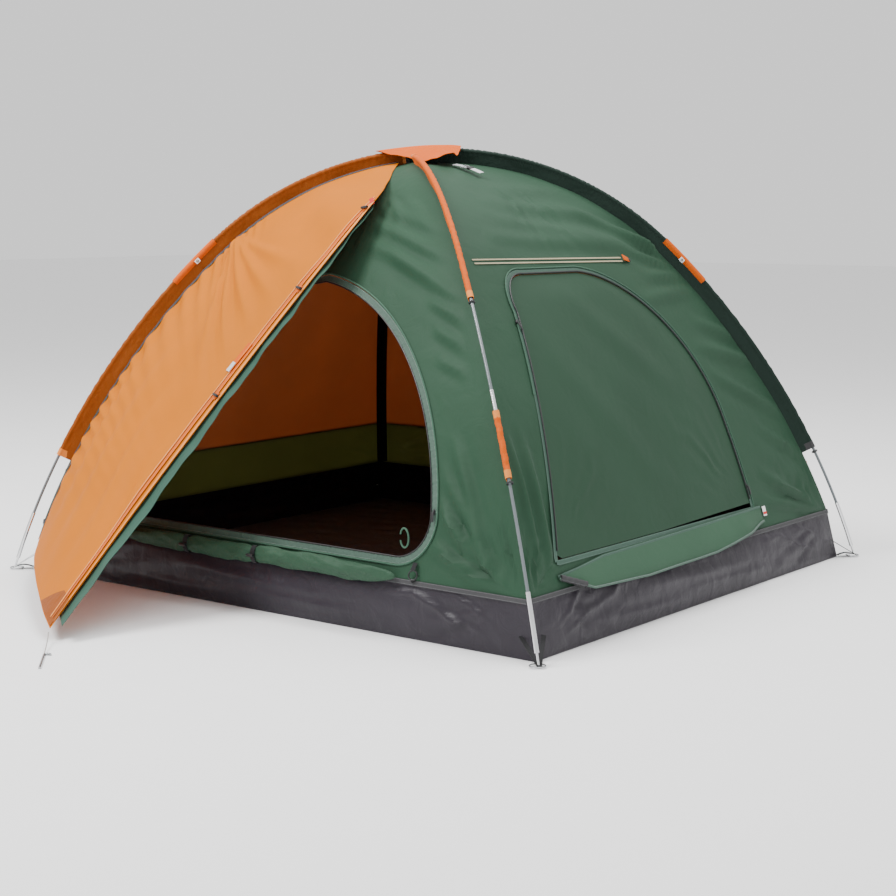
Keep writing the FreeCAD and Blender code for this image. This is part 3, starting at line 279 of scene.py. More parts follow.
@dataclass
class Wall:
    """A curved sheet stretched between two seams, from one height, or the crown, to another."""

    left: Seam
    right: Seam
    axis: int
    out: Triple
    foot: float
    head: Optional[float] = None
    steps: int = 500

    def __post_init__(self) -> None:
        """Make the two edges' tables."""
        self.share = np.linspace(0.0, 1.0, self.steps)
        self.a, self.b = self.edge(self.left), self.edge(self.right)

    def edge(self, seam: Seam) -> Points:
        """Points down one seam."""
        last = seam.pole.turn_at_height(self.foot, seam.drop)
        if self.head is None:
            return seam.at(last * self.share + seam.start * (1 - self.share) ** 8)
        first = seam.pole.turn_at_height(self.head, seam.drop)
        return seam.at(first + (last - first) * self.share)

    def between(self, down: Points, over: Points) -> Points:
        """Points at shares down and over the wall."""
        spot = np.clip(down, 0, 1) * (self.steps - 1)
        low = np.minimum(spot.astype(int), self.steps - 2)
        part = (spot - low)[:, None]
        a = self.a[low] * (1 - part) + self.a[low + 1] * part
        b = self.b[low] * (1 - part) + self.b[low + 1] * part
        return mix(a, b, over)

    def normal(self, down: Points, over: Points) -> Points:
        """Outward normals there."""
        eps = 0.004
        slope = self.between(np.minimum(down + eps, 1), over) - self.between(np.maximum(down - eps, 0), over)
        level = self.between(down, over + eps) - self.between(down, over - eps)
        normal = unit(np.cross(slope, level))
        toward = np.sign(normal @ np.array(self.out))
        return normal * np.where(toward == 0, 1, toward)[:, None]

    def locate(self, across: Points, height: Points) -> tuple[Points, Points]:
        """Shares down and over the wall of the places given across and up it."""
        across, height = np.atleast_1d(across).astype(float), np.atleast_1d(height).astype(float)
        down, over = np.empty_like(across), np.empty_like(across)
        a, b = self.a, self.b
        for index, (x, z) in enumerate(zip(across, height)):
            share = (x - a[:, self.axis]) / (b[:, self.axis] - a[:, self.axis] + 1e-9)
            level = a[:, 2] + (b[:, 2] - a[:, 2]) * share
            inside = (share > -0.06) & (share < 1.06)
            gap = np.where(inside, level - z, 9.0)
            cross = np.nonzero((gap[:-1] >= 0) & (gap[1:] < 0) & inside[:-1] & inside[1:])[0]
            low = int(cross[0]) if len(cross) else min(int(np.argmin(np.abs(gap))), self.steps - 2)
            fall = level[low] - level[low + 1]
            part = np.clip((level[low] - z) / fall, 0, 1) if abs(fall) > 1e-12 else 0.0
            down[index] = (low + part) / (self.steps - 1)
            over[index] = share[low] * (1 - part) + share[low + 1] * part
        return down, over

    def on(self, across: Points, height: Points, lift: Points = 0.0) -> Points:
        """Points on the wall, or lifted off it, at places given across and up it."""
        down, over = self.locate(across, height)
        return self.between(down, over) + self.normal(down, over) * np.broadcast_to(lift, down.shape)[:, None]

    def outline(self) -> Points:
        """The wall's border across and up it, once round."""
        plane = [self.axis, 2]
        low = mix(self.a[-1:], self.b[-1:], np.linspace(0, 1, 60))
        return np.concatenate([self.a[:, plane], low[:, plane], self.b[::-1, plane]])


@dataclass
class Outline:
    """A closed outline of straight and arched edges, given across and up a wall."""

    edges: Sequence[Sequence[Pair]]
    centre: Pair
    fineness: int = 60

    def __post_init__(self) -> None:
        """Lay points along the edges."""
        line: list[Points] = []
        for edge in self.edges:
            share = np.linspace(0, 1, self.fineness, endpoint=False)
            if len(edge) == 2:
                line.append(mix(np.array([edge[0]]), np.array([edge[1]]), share))
            else:
                line.append(self.arc(edge, share))
        self.line = np.concatenate(line)
        self.corners = [edge[0] for edge in self.edges]
        closed = np.vstack([self.line, self.line[:1]])
        self.run = np.concatenate([[0], np.cumsum(np.linalg.norm(np.diff(closed, axis=0), axis=1))])
        self.closed = closed

    @staticmethod
    def arc(edge: Sequence[Pair], share: Points) -> Points:
        """Points along the circular arc through three places."""
        (ax, ay), (bx, by), (cx, cy) = edge
        d = 2 * (ax * (by - cy) + bx * (cy - ay) + cx * (ay - by))
        a2, b2, c2 = ax * ax + ay * ay, bx * bx + by * by, cx * cx + cy * cy
        ux = (a2 * (by - cy) + b2 * (cy - ay) + c2 * (ay - by)) / d
        uy = (a2 * (cx - bx) + b2 * (ax - cx) + c2 * (bx - ax)) / d
        first, half = math.atan2(ay - uy, ax - ux), math.atan2(by - uy, bx - ux)
        last = math.atan2(cy - uy, cx - ux)
        way = 1 if (half - first) % TAU < (last - first) % TAU else -1
        sweep = ((last - first) * way) % TAU
        turn = first + way * sweep * share
        radius = math.hypot(ax - ux, ay - uy)
        return np.stack([ux + radius * np.cos(turn), uy + radius * np.sin(turn)], -1)

    def at(self, share: Points, out: Points = 0.0) -> Points:
        """Places along the outline, moved outwards from it."""
        spot = np.asarray(share, float) % 1.0 * self.run[-1]
        x, y = (np.interp(spot, self.run, self.closed[:, k]) for k in (0, 1))
        ahead, behind = (spot + 0.004) % self.run[-1], (spot - 0.004) % self.run[-1]
        way = np.stack([np.interp(ahead, self.run, self.closed[:, k]) -
                        np.interp(behind, self.run, self.closed[:, k]) for k in (0, 1)], -1)
        side = unit(np.stack([way[:, 1], -way[:, 0]], -1))
        toward = np.sign(np.sum(side * (np.stack([x, y], -1) - np.array(self.centre)), -1))
        return np.stack([x, y], -1) + side * (toward * np.broadcast_to(out, spot.shape))[:, None]

    @staticmethod
    def polar(line: Points, centre: Pair) -> tuple[Points, Points]:
        """Angles and reaches of a line about a centre, in order of angle."""
        turn = np.arctan2(line[:, 1] - centre[1], line[:, 0] - centre[0])
        reach = np.hypot(line[:, 0] - centre[0], line[:, 1] - centre[1])
        order = np.argsort(turn)
        turn, reach = turn[order], reach[order]
        return np.concatenate([turn - TAU, turn, turn + TAU]), np.tile(reach, 3)


@dataclass
class Tent:
    """The lines that every sheet follows, from the frame's own sizes."""

    floor_inset: float = 0.042
    pole_radius: float = 0.00425
    canopy_drop: float = 0.038
    crossing_gap: float = 0.0135
    lean: float = math.radians(4.6)
    tub_top: float = 0.150
    band_top: float = 0.310

    def __post_init__(self) -> None:
        """Lay out the poles, the corner seams and the walls."""
        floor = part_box("groundsheet")[1]
        self.half_width, self.half_depth = floor[0] + self.floor_inset, floor[1] + self.floor_inset
        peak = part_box("main_pole_section_4")[1][2] - self.pole_radius
        self.main = PoleLine((self.half_width, self.half_depth), peak)
        turn = peak * math.sin(self.lean) / self.main.crown_bend
        crossing = self.main.point(-1, turn)[2] - self.crossing_gap
        self.cross = PoleLine((self.half_width, -self.half_depth), crossing / math.cos(self.lean), self.lean)
        self.hub = self.cross.point(1, 0.0)
        self.crossing_turn = turn
        self.cross_drop = self.main.point(1, 0.0, -self.canopy_drop)[2] - crossing
        self.front_left = Seam(self.main, -1, -self.canopy_drop, turn)
        self.back_right = Seam(self.main, 1, -self.canopy_drop, -turn)
        self.front_right = Seam(self.cross, 1, self.cross_drop, 0.0)
        self.back_left = Seam(self.cross, -1, self.cross_drop, 0.0)
        self.front = Wall(self.front_left, self.front_right, 0, (0, -1, 0), self.tub_top)
        self.right = Wall(self.front_right, self.back_right, 1, (1, 0, 0), self.tub_top)
        self.back = Wall(self.back_left, self.back_right, 0, (0, 1, 0), self.band_top)
        self.left = Wall(self.front_left, self.back_left, 1, (-1, 0, 0), self.band_top)
        self.back_band = Wall(self.back_left, self.back_right, 0, (0, 1, 0), self.tub_top, self.band_top)
        self.left_band = Wall(self.front_left, self.back_left, 1, (-1, 0, 0), self.tub_top, self.band_top)


# ------------------------------------------------------------------ mesh helpers

def middle_of(node: str) -> Points:
    """The middle of a CAD node's box."""
    lo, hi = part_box(node)
    return (np.array(lo) + np.array(hi)) / 2


def deselect() -> None:
    """Nothing selected, and object mode."""
    if bpy.context.object and bpy.context.object.mode != "OBJECT":
        bpy.ops.object.mode_set(mode="OBJECT")
    bpy.ops.object.select_all(action="DESELECT")


def pick(obj: bpy.types.Object) -> None:
    """Select one object and make it active."""
    deselect()
    obj.select_set(True)
    bpy.context.view_layer.objects.active = obj


def edit_all(obj: bpy.types.Object, *steps: Callable[[], object]) -> None:
    """Run edit-mode operators with the whole mesh selected."""
    pick(obj)
    bpy.ops.object.mode_set(mode="EDIT")
    bpy.ops.mesh.select_all(action="SELECT")
    for step in steps:
        step()
    bpy.ops.object.mode_set(mode="OBJECT")


def apply(obj: bpy.types.Object, kind: str, **settings: object) -> bpy.types.Object:
    """Add a modifier with these settings and apply it."""
    pick(obj)
    modifier = obj.modifiers.new(kind.lower(), kind)
    for name, value in settings.items():
        setattr(modifier, name, value)
    bpy.ops.object.modifier_apply(modifier=modifier.name)
    return obj


def rename(obj: bpy.types.Object, name: str) -> bpy.types.Object:
    """Name an object and its mesh."""
    obj.name = name
    obj.data.name = name
    return obj


def settle(obj: bpy.types.Object, angle: float = 40.0) -> bpy.types.Object:
    """Apply the object's place to its mesh, and shade it smooth up to an angle."""
    pick(obj)
    bpy.ops.object.transform_apply(location=True, rotation=True, scale=True)
    bpy.ops.object.shade_smooth_by_angle(angle=math.radians(angle))
    return obj


def vertices_of(obj: bpy.types.Object) -> Points:
    """The mesh's points, one row each."""
    flat = np.empty(len(obj.data.vertices) * 3)
    obj.data.vertices.foreach_get("co", flat)
    return flat.reshape(-1, 3)


def average_normal(obj: bpy.types.Object) -> Points:
    """The faces' normals added up by area."""
    total = np.zeros(3)
    for face in obj.data.polygons:
        total += np.array(face.normal) * face.area
    return total


def lay_grid(name: str, columns: int, rows: int, place: Callable[[Points, Points], Points],
             cut: Pair = (1.0, 1.0), facing: Optional[Sequence[float]] = None,
             thickness: float = CLOTH, weld: bool = False) -> bpy.types.Object:
    """A grid primitive laid on a curved surface and given a thickness.

    Args:
        name: the piece's name.
        columns: faces along the first way.
        rows: faces along the second way.
        place: gives the points for shares (0 to 1) along the two ways.
        cut: size in metres along the two ways, for the weave.
        facing: a direction that the outer side faces, or None for a wrapped form.
        thickness: of the cloth, inwards; 0 leaves it single.
        weld: join edges that meet.

    Returns:
        The finished piece.
    """
    deselect()
    bpy.ops.mesh.primitive_grid_add(x_subdivisions=columns, y_subdivisions=rows, size=1.0, calc_uvs=True)
    obj = rename(bpy.context.active_object, name)
    flat = vertices_of(obj)
    u = np.round((flat[:, 0] + 0.5) * columns) / columns
    v = np.round((flat[:, 1] + 0.5) * rows) / rows
    obj.data.vertices.foreach_set("co", np.ascontiguousarray(place(u, v)).ravel())
    corner = np.empty(len(obj.data.loops), int)
    obj.data.loops.foreach_get("vertex_index", corner)
    weave = np.stack([u[corner] * cut[0], v[corner] * cut[1]], -1)
    obj.data.uv_layers.active.data.foreach_set("uv", weave.ravel())
    obj.data.update()
    if weld:
        edit_all(obj, lambda: bpy.ops.mesh.remove_doubles(threshold=1e-5))
    if facing is None:
        edit_all(obj, lambda: bpy.ops.mesh.normals_make_consistent(inside=False))
    elif average_normal(obj) @ np.array(facing) < 0:
        edit_all(obj, lambda: bpy.ops.mesh.flip_normals())
    if thickness:
        apply(obj, "SOLIDIFY", thickness=thickness, offset=-1.0, use_rim=True)
    return settle(obj, 60.0)


def frames(path: Points, closed: bool = False) -> Points:
    """Directions along a line of points."""
    if closed:
        return unit(np.roll(path, -1, 0) - np.roll(path, 1, 0))
    return unit(np.gradient(path, axis=0))


def along_line(path: Points, share: Points, closed: bool = False) -> Points:
    """Points at shares of the length of a line."""
    line = np.vstack([path, path[:1]]) if closed else path
    run = np.concatenate([[0], np.cumsum(np.linalg.norm(np.diff(line, axis=0), axis=1))])
    return np.stack([np.interp(share * run[-1], run, line[:, k]) for k in range(3)], -1)


def length_of(path: Points, closed: bool = False) -> float:
    """Length of a line of points."""
    line = np.vstack([path, path[:1]]) if closed else path
    return float(np.linalg.norm(np.diff(line, axis=0), axis=1).sum())


def lay_ribbon(name: str, path: Points, outward: Points, width: float, thickness: float = FINE,
               shift: float = 0.0, lift: float = 0.001, ruffle: float = 0.0, columns: int = 0,
               rows: int = 4, closed: bool = False) -> bpy.types.Object:
    """A flat tape along a line on a surface.

    Args:
        name: the piece's name.
        path: points along its middle.
        outward: the surface's normals there.
        width: of the tape.
        thickness: of the tape.
        shift: sideways from the line.
        lift: off the surface.
        ruffle: height of small gathers across it.
        columns: faces along it, or 0 to have them about 6 mm long.
        rows: faces across it.
        closed: joined end to end.

    Returns:
        The finished tape.
    """
    length = length_of(path, closed)
    columns = columns or max(8, int(length / 0.006))
    line = np.vstack([path, path[:1]]) if closed else path
    normals = np.vstack([outward, outward[:1]]) if closed else outward
    run = np.linspace(0, 1, len(line))
    lengths = np.concatenate([[0], np.cumsum(np.linalg.norm(np.diff(line, axis=0), axis=1))])

    def place(u: Points, v: Points) -> Points:
        spot = np.interp(u * lengths[-1], lengths, run)
        point, normal, ahead, behind = (np.stack([np.interp(s, run, data[:, k]) for k in range(3)], -1)
                                        for s, data in ((spot, line), (spot, normals),
                                                        (np.minimum(spot + 0.003, 1), line),
                                                        (np.maximum(spot - 0.003, 0), line)))
        normal, side = unit(normal), unit(np.cross(unit(ahead - behind), normal))
        gather = ruffle * (np.sin(u * length / 0.011 * TAU + 2 * np.sin(u * length * 37))
                           + 0.5 * np.sin(u * length / 0.0047 * TAU)) * np.sin(math.pi * v)
        return point + side * ((v - 0.5) * width + shift)[:, None] + normal * (lift + gather)[:, None]

    return lay_grid(name, columns, rows, place, (length, width), unit(outward).mean(0), thickness, closed)


def close_ends(obj: bpy.types.Object, angle: float) -> bpy.types.Object:
    """Fill the holes at the ends of a tube, and shade it smooth up to an angle."""
    edit_all(obj, lambda: bpy.ops.mesh.select_all(action="DESELECT"),
             lambda: bpy.ops.mesh.select_non_manifold(),
             lambda: bpy.ops.mesh.fill_holes(sides=0),
             lambda: bpy.ops.mesh.select_all(action="SELECT"),
             lambda: bpy.ops.mesh.normals_make_consistent(inside=False))
    return settle(obj, angle)


def lay_tube(name: str, path: Points, radius: float, sides: int = 10, step: float = 0.006,
             closed: bool = False, bead: float = 0.0, bead_pitch: float = 0.003) -> bpy.types.Object:
    """A round cord or wire along a line of points, with closed ends.

    Args:
        name: the piece's name.
        path: points along its middle.
        radius: of its section.
        sides: faces around it.
        step: length of the faces along it.
        closed: a ring.
        bead: height of beads along it, as on a zip's coil.
        bead_pitch: how far apart the beads are.

    Returns:
        The finished tube.
    """
    length = length_of(path, closed)
    columns = max(6, int(length / step))
    line = along_line(path, np.linspace(0, 1, columns + 1), closed)
    ahead = frames(line[:-1], True) if closed else frames(line)
    if closed:
        ahead = np.vstack([ahead, ahead[:1]])
    side = unit(np.cross(ahead[0], [0.31, 0.17, 0.93]))
    sideways = []
    for way in ahead:
        side = unit(side - way * (side @ way))
        sideways.append(side)
    if closed:
        sideways[-1] = sideways[0]
    sideways = np.array(sideways)
    upward = np.cross(ahead, sideways)

    def place(u: Points, v: Points) -> Points:
        index = np.round(u * columns).astype(int)
        size = radius + bead * np.abs(np.sin(u * length / bead_pitch * math.pi))
        turn = v * TAU
        return line[index] + sideways[index] * (np.cos(turn) * size)[:, None] + \
            upward[index] * (np.sin(turn) * size)[:, None]

    obj = lay_grid(name, columns, sides, place, (length, radius * TAU), None, 0.0, True)
    if not closed:
        close_ends(obj, 50.0)
    return obj


def block(name: str, size: Triple, spot: Points, axes: Points, bevel: float = 0.0008,
          taper: float = 0.0) -> bpy.types.Object:
    """A moulded block: a cube, narrowed towards one end, with rounded edges.

    Args:
        name: the piece's name.
        size: along its three ways.
        spot: its middle.
        axes: its three ways, one row each.
        bevel: radius of its edges.
        taper: how much narrower its far end is, as a share.

    Returns:
        The block.
    """
    deselect()
    bpy.ops.mesh.primitive_cube_add(size=1.0)
    obj = rename(bpy.context.active_object, name)
    for vertex in obj.data.vertices:
        narrow = 1 - taper * (vertex.co.x + 0.5)
        local = np.array([vertex.co.x * size[0], vertex.co.y * size[1] * narrow, vertex.co.z * size[2]])
        vertex.co = Vector(np.asarray(spot) + local @ np.asarray(axes))
    edit_all(obj, lambda: bpy.ops.mesh.normals_make_consistent(inside=False),
             lambda: bpy.ops.mesh.bevel(offset=bevel, segments=3, affect="EDGES"))
    return settle(obj, 35.0)


def ring(name: str, spot: Points, radius: float, wire: float, facing: Points,
         squash: float = 1.0) -> bpy.types.Object:
    """A round or oval ring of wire about a place."""
    normal = unit(np.asarray(facing, float))
    side = unit(np.cross(normal, [0.0, 0.31, 0.95]))
    up = np.cross(normal, side)
    turn = np.linspace(0, TAU, 40, endpoint=False)
    path = np.asarray(spot) + side * (np.cos(turn) * radius)[:, None] + \
        up * (np.sin(turn) * radius * squash)[:, None]
    return lay_tube(name, path, wire, 10, radius * TAU / 40, True)


def join(name: str, parts: Sequence[bpy.types.Object]) -> bpy.types.Object:
    """Several meshes made one piece."""
    deselect()
    for part in parts:
        part.select_set(True)
    bpy.context.view_layer.objects.active = parts[0]
    if len(parts) > 1:
        bpy.ops.object.join()
    return rename(parts[0], name)


def dress(obj: bpy.types.Object, material: bpy.types.Material, body: Optional[Body],
          replaces: Sequence[str] = ()) -> bpy.types.Object:
    """Give a piece its finish and its body, and hide the nodes it stands for."""
    obj.data.materials.clear()
    obj.data.materials.append(material)
    if body is not None:
        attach(obj, body.value)
    if replaces:
        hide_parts(*replaces)
    log.info("%s: %d faces", obj.name, len(obj.data.polygons))
    return obj


# ------------------------------------------------------------------ finishes

class NodeTree:
    """A new material and short ways to add and join its nodes."""

    def __init__(self, name: str) -> None:
        """Start an empty material."""
        self.material = bpy.data.materials.new(name)
        self.material.use_nodes = True
        self.tree = self.material.node_tree
        self.tree.nodes.clear()

    def add(self, kind: str, **settings: object) -> bpy.types.Node:
        """Add a node.

        Args:
            kind: its type, without the leading ShaderNode.
            settings: its own settings in lower case, and its sockets' values in capitals, with
                underscores for spaces.

        Returns:
            The node.
        """
        node = self.tree.nodes.new("ShaderNode" + kind)
        for name, value in settings.items():
            if name[0].islower():
                setattr(node, name, value)
            else:
                node.inputs[name.replace("_", " ")].default_value = value
        return node

    def link(self, source: bpy.types.NodeSocket, target: bpy.types.NodeSocket) -> None:
        """Join two sockets."""
        self.tree.links.new(source, target)

    def math(self, operation: str, first: object, second: object = 0.0) -> bpy.types.NodeSocket:
        """A sum of two sockets or numbers."""
        node = self.add("Math", operation=operation)
        for socket, value in zip(node.inputs, (first, second)):
            if isinstance(value, (int, float)):
                socket.default_value = value
            else:
                self.link(value, socket)
        return node.outputs[0]

    def blend(self, factor: bpy.types.NodeSocket, first: object, second: object) -> bpy.types.NodeSocket:
        """A mix of two colours, each a socket or four numbers."""
        node = self.add("Mix", data_type="RGBA")
        self.link(factor, node.inputs[0])
        for socket, value in ((node.inputs[6], first), (node.inputs[7], second)):
            if isinstance(value, tuple):
                socket.default_value = value
            else:
                self.link(value, socket)
        return node.outputs[2]

    def noise(self, where: bpy.types.NodeSocket, scale: float, detail: float = 3.0,
              distortion: float = 0.0) -> bpy.types.NodeSocket:
        """A noise at some scale to the metre."""
        node = self.add("TexNoise", Scale=scale, Detail=detail, Distortion=distortion)
        self.link(where, node.inputs["Vector"])
        return node.outputs[0]

    def bump(self, height: bpy.types.NodeSocket, strength: float, distance: float,
             under: Optional[bpy.types.NodeSocket] = None) -> bpy.types.NodeSocket:
        """A bump on top of another."""
        node = self.add("Bump", Strength=strength, Distance=distance)
        self.link(height, node.inputs["Height"])
        if under is not None:
            self.link(under, node.inputs["Normal"])
        return node.outputs[0]

    def output(self, surface: bpy.types.NodeSocket) -> bpy.types.Material:
        """Join a shader to the output and hand back the material."""
        self.link(surface, self.add("OutputMaterial").inputs["Surface"])
        return self.material


def rgba(colour: Triple, dim: float = 1.0) -> tuple[float, float, float, float]:
    """A colour made lighter or darker, with full alpha."""
    return (min(colour[0] * dim, 1.0), min(colour[1] * dim, 1.0), min(colour[2] * dim, 1.0), 1.0)


@dataclass(frozen=True)
class ClothFinish:
    """Woven cloth: its colour, weave, sheen, creasing and how much light comes through."""

    name: str
    colour: Triple
    roughness: float = 0.55
    sheen: float = 0.03
    weave: float = 0.0011
    weave_depth: float = 0.25
    crumple: float = 0.35
    crumple_scale: float = 16.0
    glow: float = 0.18
    variation: float = 0.16
    gloss: float = 0.16
    stitch: Optional[Triple] = None
    stitch_edge: float = 0.002
    stitch_width: float = 0.0

    def material(self) -> bpy.types.Material:
        """The cloth's material."""
        net = NodeTree(self.name)
        place = net.add("TexCoord").outputs["Object"]
        weave = net.add("UVMap").outputs[0]
        threads = []
        for way in ("X", "Y"):
            band = net.add("TexWave", wave_type="BANDS", bands_direction=way, Scale=0.314 / self.weave)
            net.link(weave, band.inputs["Vector"])
            threads.append(band.outputs["Fac"])
        cloth = net.math("MULTIPLY", *threads)
        creases = net.noise(place, self.crumple_scale, 5.0, 0.8)
        patches = net.noise(place, 2.6, 3.0, 0.5)
        fuzz = net.noise(place, 260.0, 2.0)
        tone = net.blend(patches, rgba(self.colour, 1 - self.variation),
                         rgba(self.colour, 1 + self.variation))
        # Painted highlight: the cloth is made lighter where the crumple noise is high, the same noise that
        # raises the crease bump.
        crest_highlight = net.math("MULTIPLY", net.math("MULTIPLY", creases, creases), 0.22)
        tone = net.blend(crest_highlight, tone, rgba(self.colour, 1.35))
        # Painted shade: the cloth is made darker in the weave's valleys between the threads.
        dark = net.math("MULTIPLY", net.math("SUBTRACT", 1.0, cloth), 0.10)
        tone = net.blend(dark, tone, rgba(self.colour, 0.45))
        relief = net.bump(cloth, self.weave_depth, self.weave * 0.25)
        relief = net.bump(fuzz, 0.12, 0.0006, relief)
        relief = net.bump(creases, self.crumple, 0.006, relief)
        if self.stitch:
            mark = self.stitching(net, weave)
            tone = net.blend(mark, tone, rgba(self.stitch))
            relief = net.bump(mark, 0.5, 0.0006, relief)
        shine = net.math("ADD", net.math("MULTIPLY", creases, 0.16), self.roughness - 0.08)
        body = net.add("BsdfPrincipled", Sheen_Weight=self.sheen, Sheen_Roughness=0.4,
                       Specular_IOR_Level=self.gloss)
        net.link(tone, body.inputs["Base Color"])
        net.link(shine, body.inputs["Roughness"])
        net.link(relief, body.inputs["Normal"])
        if not self.glow:
            return net.output(body.outputs[0])
        through = net.add("BsdfTranslucent")
        net.link(tone, through.inputs["Color"])
        both = net.add("MixShader", Fac=self.glow)
        net.link(body.outputs[0], both.inputs[1])
        net.link(through.outputs[0], both.inputs[2])
        return net.output(both.outputs[0])

    def stitching(self, net: NodeTree, weave: bpy.types.NodeSocket) -> bpy.types.NodeSocket:
        """Marks where the thread shows: dashes along the tape, near its two edges."""
        split = net.add("SeparateXYZ")
        net.link(weave, split.inputs[0])
        dash = net.math("LESS_THAN", net.math("FRACT", net.math("DIVIDE", split.outputs[0], 0.0042)), 0.66)
        rows = []
        for edge in (self.stitch_edge, self.stitch_width - self.stitch_edge):
            away = net.math("ABSOLUTE", net.math("SUBTRACT", split.outputs[1], edge))
            rows.append(net.math("LESS_THAN", away, 0.0004))
        return net.math("MULTIPLY", net.math("MAXIMUM", *rows), dash)


@dataclass(frozen=True)
class HardFinish:
    """Metal, fibreglass or moulded plastic."""

    name: str
    colour: Triple
    roughness: float
    metallic: float = 0.0
    grain: float = 300.0
    grain_depth: float = 0.08
    stretch: Triple = (1.0, 1.0, 1.0)
    coat: float = 0.0
    clear: float = 0.0
    wear: float = 0.2

    def material(self) -> bpy.types.Material:
        """The finish's material."""
        net = NodeTree(self.name)
        turn = net.add("Mapping", Scale=self.stretch)
        net.link(net.add("TexCoord").outputs["Object"], turn.inputs["Vector"])
        place = turn.outputs[0]
        grain, marks = net.noise(place, self.grain, 3.0), net.noise(place, self.grain / 9, 5.0, 1.2)
        tone = net.blend(marks, rgba(self.colour, 1 - self.wear), rgba(self.colour, 1 + self.wear))
        shine = net.math("ADD", net.math("MULTIPLY", marks, 0.2), self.roughness - 0.1)
        body = net.add("BsdfPrincipled", Metallic=self.metallic, Coat_Weight=self.coat,
                       Transmission_Weight=self.clear)
        net.link(tone, body.inputs["Base Color"])
        net.link(shine, body.inputs["Roughness"])
        net.link(net.bump(grain, self.grain_depth, 0.0004), body.inputs["Normal"])
        return net.output(body.outputs[0])


